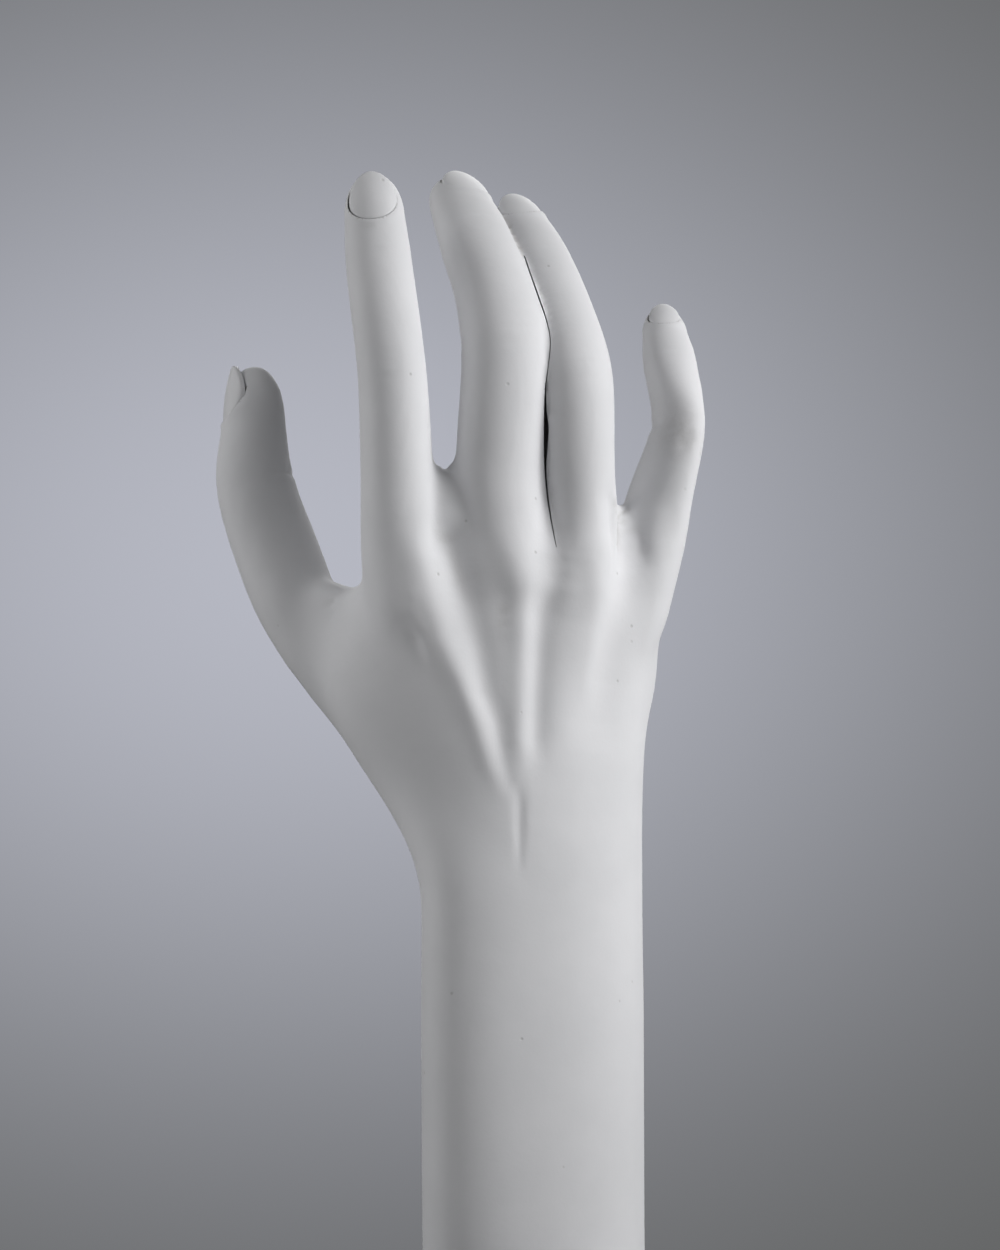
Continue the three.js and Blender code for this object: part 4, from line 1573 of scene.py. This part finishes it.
    def mark_folds(self, skin: bpy.types.Object) -> None:
        """Stores how deep each vertex lies in a fold or in a smudge of painted shade, for the finish's
        darkening.

        Args:
            skin: the cut skin.
        """
        points, normals = read_points(skin), read_normals(skin)
        neighbours = Neighbours(skin.data)
        hollow = np.einsum("ij,ij->i", neighbours.mean(points) - points, normals)
        for _ in range(self.dust_and_shade_rounds):
            hollow = (hollow + neighbours.mean(hollow)) / 2
        fold = smoothstep(*self.dust_and_shade_hollow, hollow)
        facing = np.maximum(Side.BACK.value * normals[:, 1], 0)
        # Adds the smudges of painted shade, which are partly dirt at the little finger's joint
        for x, z, radius, strength in self.shade_and_dirt_smudges:
            away = np.hypot(points[:, 0] - x, points[:, 2] - z)
            fold = np.maximum(fold, strength * np.sqrt(facing) * np.exp(-((away / radius) ** 2)))
        attribute = skin.data.attributes.new("fold", "FLOAT", "POINT")
        attribute.data.foreach_set("value", fold.astype(np.float32))

    def build(self) -> bpy.types.Object:
        """Builds the skin.

        Returns:
            The finished skin.
        """
        skin = self.fuse()
        self.soften(skin)
        self.sculpt(skin)
        self.cut_seats(skin)
        smooth_shade(skin, self.smooth_angle)
        self.mark_folds(skin)
        return skin

    def dress(self, skin: bpy.types.Object) -> None:
        """Gives the skin its finish and its place in the frame."""
        coat(skin, self.finish.make())
        place_piece(skin, "plaster", "hand_casting")


@dataclass
class FeltFoot:
    """The felt pad that is glued under the forearm, as large as its solid."""

    round_edge: float = 0.5
    edge_steps: int = 4
    sides: int = 96
    level: float = 0.9
    smooth_angle: float = 40.0
    finish: FeltFinish = FeltFinish()

    def build(self) -> bpy.types.Object:
        """Builds the pad with a softly worn rim.

        Returns:
            The pad's object.
        """
        low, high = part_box("felt_foot")
        width, depth, height = high - low
        deselect_all()
        bpy.ops.mesh.primitive_cylinder_add(vertices=self.sides, radius=1, depth=1, location=(0, 0, 0.5))
        pad = bpy.context.object
        pad.name = "felt_pad"
        bpy.ops.object.mode_set(mode="EDIT")
        bpy.ops.mesh.select_all(action="SELECT")
        bpy.ops.transform.resize(value=(width / 2, depth / 2, height), center_override=(0, 0, 0))
        bpy.ops.mesh.select_mode(type="FACE")
        bpy.ops.mesh.select_all(action="DESELECT")
        bpy.ops.object.mode_set(mode="OBJECT")
        for polygon in pad.data.polygons:
            polygon.select = abs(polygon.normal.z) > self.level
        bpy.ops.object.mode_set(mode="EDIT")
        bpy.ops.mesh.bevel(offset=self.round_edge * MM, segments=self.edge_steps, affect="EDGES")
        bpy.ops.object.mode_set(mode="OBJECT")
        bpy.ops.object.transform_apply(location=True, rotation=True, scale=True)
        smooth_shade(pad, self.smooth_angle)
        return pad

    def dress(self, pad: bpy.types.Object) -> None:
        """Gives the pad its finish and its place in the frame."""
        coat(pad, self.finish.make())
        place_piece(pad, "felt", "felt_foot")


@dataclass
class Armature:
    """The metal pieces inside the casting, which keep their solids."""

    steel: MetalFinish = MetalFinish(
        "drawn_steel", light=(0.54, 0.55, 0.56, 1), dull=(0.42, 0.43, 0.44, 1), roughness=(0.3, 0.5)
    )
    zinc: MetalFinish = MetalFinish(
        "zinc_plating", light=(0.64, 0.66, 0.68, 1), dull=(0.55, 0.57, 0.59, 1), roughness=(0.38, 0.55)
    )

    def dress(self) -> None:
        """Gives each metal piece the finish of its slot in the record."""
        finishes = {"steel": self.steel.make(), "zinc": self.zinc.make()}
        for row in frame["record"]["subparts"]:
            if row["material_slot"] in finishes:
                coat(frame["nodes"][row["node"]], finishes[row["material_slot"]])
                log.info("%s keeps its solid", row["node"])


def seen_directly(tree: bpy.types.NodeTree) -> bpy.types.NodeSocket:
    """Tells rays that see a surface from rays of light that only bounce off it.

    Args:
        tree: the nodes of a material or a world.

    Returns:
        1 for the camera, a reflection or glass, and otherwise 0.
    """
    rays = tree.nodes.new("ShaderNodeLightPath").outputs
    seen = rays["Is Camera Ray"]
    for name in ("Is Glossy Ray", "Is Transmission Ray"):
        either = tree.nodes.new("ShaderNodeMath")
        either.operation = "MAXIMUM"
        tree.links.new(seen, either.inputs[0])
        tree.links.new(rays[name], either.inputs[1])
        seen = either.outputs[0]
    return seen


@dataclass(frozen=True)
class Softbox:
    """A square soft light that looks at the hand: degrees right of the front and upwards, metres and watts."""

    name: str
    azimuth: float
    elevation: float
    size: float
    power: float
    distance: float = 0.85
    spread: float = 52.0

    def hang(self, aim: Vector) -> None:
        """Hangs the light.

        Args:
            aim: the place that it looks at, in metres.
        """
        azimuth, elevation = math.radians(self.azimuth), math.radians(self.elevation)
        level = math.cos(elevation)
        toward = Vector((math.sin(azimuth) * level, -math.cos(azimuth) * level, math.sin(elevation)))
        data = bpy.data.lights.new(self.name, "AREA")
        data.shape, data.size, data.energy = "SQUARE", self.size, self.power
        data.spread = math.radians(self.spread)
        light = bpy.data.objects.new(self.name, data)
        bpy.context.scene.collection.objects.link(light)
        light.location = aim + toward * self.distance
        light.rotation_euler = (-toward).to_track_quat("-Z", "Y").to_euler()


@dataclass
class Studio:
    """The camera, the lights, the backdrop and the floor.

    The backdrop's glow is given across and up, as shares of the view's direction.
    """

    camera_place: Place = (-8.54, -847.0, 188.29)
    camera_nearest: float = 10.0
    lens: float = 100.0
    sensor: float = 36.0
    floor_radius: float = 190.0
    floor_depth: float = 10.0
    floor_edge: float = 2.0
    floor_sides: int = 128
    floor_scale: float = 12.0
    floor_pale: Colour = (0.62, 0.63, 0.64, 1)
    floor_worn: Colour = (0.58, 0.59, 0.60, 1)
    floor_bounce: Colour = (0.12, 0.12, 0.12, 1)
    floor_roughness: float = 0.8
    ambient: float = 0.08
    ambient_tint: Colour = (0.97, 0.98, 1.0, 1)
    backdrop_dark: Colour = (0.098, 0.1, 0.095, 1)
    backdrop_bright: Colour = (0.465, 0.477, 0.539, 1)
    glow_middle: Span = (-0.06, 0.02)
    glow_reach: Span = (0.22, 0.16)
    aim: Place = (0.0, 0.0, 200.0)
    softboxes: tuple[Softbox, ...] = (
        Softbox("low_key", azimuth=65, elevation=5, size=0.35, power=0.42),
        Softbox("high_key", azimuth=75, elevation=30, size=0.3, power=0.29),
        Softbox("low_left", azimuth=-90, elevation=5, size=0.5, power=0.21),
        Softbox("high_left", azimuth=-65, elevation=35, size=0.5, power=0.175),
        Softbox("front_fill", azimuth=-40, elevation=5, size=0.5, power=0.05),
        Softbox("back_fill", azimuth=170, elevation=30, size=0.6, power=0.3),
    )

    def shoot(self) -> None:
        """Places the camera that takes the photograph's view."""
        camera = bpy.data.objects.new("camera", bpy.data.cameras.new("camera"))
        bpy.context.scene.collection.objects.link(camera)
        camera.location = [value * MM for value in self.camera_place]
        camera.rotation_euler = (math.pi / 2, 0, 0)
        camera.data.lens, camera.data.sensor_width = self.lens, self.sensor
        camera.data.clip_start = self.camera_nearest * MM
        bpy.context.scene.camera = camera

    def light(self) -> None:
        """Lights the hand from the right, with weaker light from the left and the back."""
        for box in self.softboxes:
            box.hang(Vector(self.aim) * MM)

    def backdrop(self) -> None:
        """Sets the even fill that lights the hand and the grey backdrop that the camera sees."""
        world = bpy.data.worlds.new("studio")
        bpy.context.scene.world = world
        world.use_nodes = True
        nodes, links = world.node_tree.nodes, world.node_tree.links
        nodes.clear()
        coords = nodes.new("ShaderNodeTexCoord")
        mapping = nodes.new("ShaderNodeMapping")
        (across, up), (wide, high) = self.glow_middle, self.glow_reach
        mapping.inputs["Location"].default_value = (-across / wide, 0.0, -up / high)
        mapping.inputs["Scale"].default_value = (1 / wide, 0.0, 1 / high)
        square = nodes.new("ShaderNodeVectorMath")
        square.operation = "DOT_PRODUCT"
        glow = nodes.new("ShaderNodeMath")
        glow.operation = "POWER"
        glow.inputs[0].default_value = math.exp(-1)
        ramp = nodes.new("ShaderNodeValToRGB")
        ramp.color_ramp.elements[0].color = self.backdrop_dark
        ramp.color_ramp.elements[1].color = self.backdrop_bright
        seen, fill = nodes.new("ShaderNodeBackground"), nodes.new("ShaderNodeBackground")
        fill.inputs["Color"].default_value = self.ambient_tint
        fill.inputs["Strength"].default_value = self.ambient
        mix, out = nodes.new("ShaderNodeMixShader"), nodes.new("ShaderNodeOutputWorld")
        links.new(coords.outputs["Generated"], mapping.inputs["Vector"])
        for number in (0, 1):
            links.new(mapping.outputs["Vector"], square.inputs[number])
        links.new(square.outputs["Value"], glow.inputs[1])
        links.new(glow.outputs["Value"], ramp.inputs["Fac"])
        links.new(ramp.outputs["Color"], seen.inputs["Color"])
        links.new(seen_directly(world.node_tree), mix.inputs["Fac"])
        links.new(fill.outputs["Background"], mix.inputs[1])
        links.new(seen.outputs["Background"], mix.inputs[2])
        links.new(mix.outputs["Shader"], out.inputs["Surface"])

    def floor(self) -> bpy.types.Object:
        """Lays a round pale floor that stays below the photograph's lower edge.

        Returns:
            The floor's object.
        """
        deselect_all()
        bpy.ops.mesh.primitive_cylinder_add(
            vertices=self.floor_sides,
            radius=self.floor_radius * MM,
            depth=self.floor_depth * MM,
            location=(0, 0, -self.floor_depth * MM / 2),
        )
        floor = bpy.context.object
        floor.name = "floor"
        apply_modifier(floor, "BEVEL", width=self.floor_edge * MM, segments=3, limit_method="ANGLE")
        shader = Shader(bpy.data.materials.new("pale_floor"))
        worn = shader.span(shader.noise(self.floor_scale), shader.MOST_NOISE)
        pale = shader.blend(worn, self.floor_pale, self.floor_worn)
        seen = seen_directly(shader.material.node_tree)
        shader.feed(Base_Color=shader.blend(seen, self.floor_bounce, pale), Roughness=self.floor_roughness)
        coat(floor, shader.material)
        return floor


def main() -> None:
    """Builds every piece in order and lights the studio."""
    logging.basicConfig(level=logging.INFO, format="%(name)s: %(message)s")
    bpy.context.scene.view_settings.view_transform = "Standard"
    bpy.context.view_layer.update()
    studio = Studio()
    studio.shoot()
    studio.light()
    studio.backdrop()
    studio.floor()
    digits = make_digits()
    nails = [Nail(digit) for digit in digits.values()]
    skin = HandSkin(digits, nails)
    skin.dress(skin.build())
    rubbed = PlasterFinish("rubbed_plaster", roughness=(0.45, 0.58), specular=0.4, paints_dust_and_shade=False).make()
    for nail in nails:
        nail.dress(nail.build(), rubbed)
    foot = FeltFoot()
    foot.dress(foot.build())
    Armature().dress()


if __name__ == "__main__":
    main()
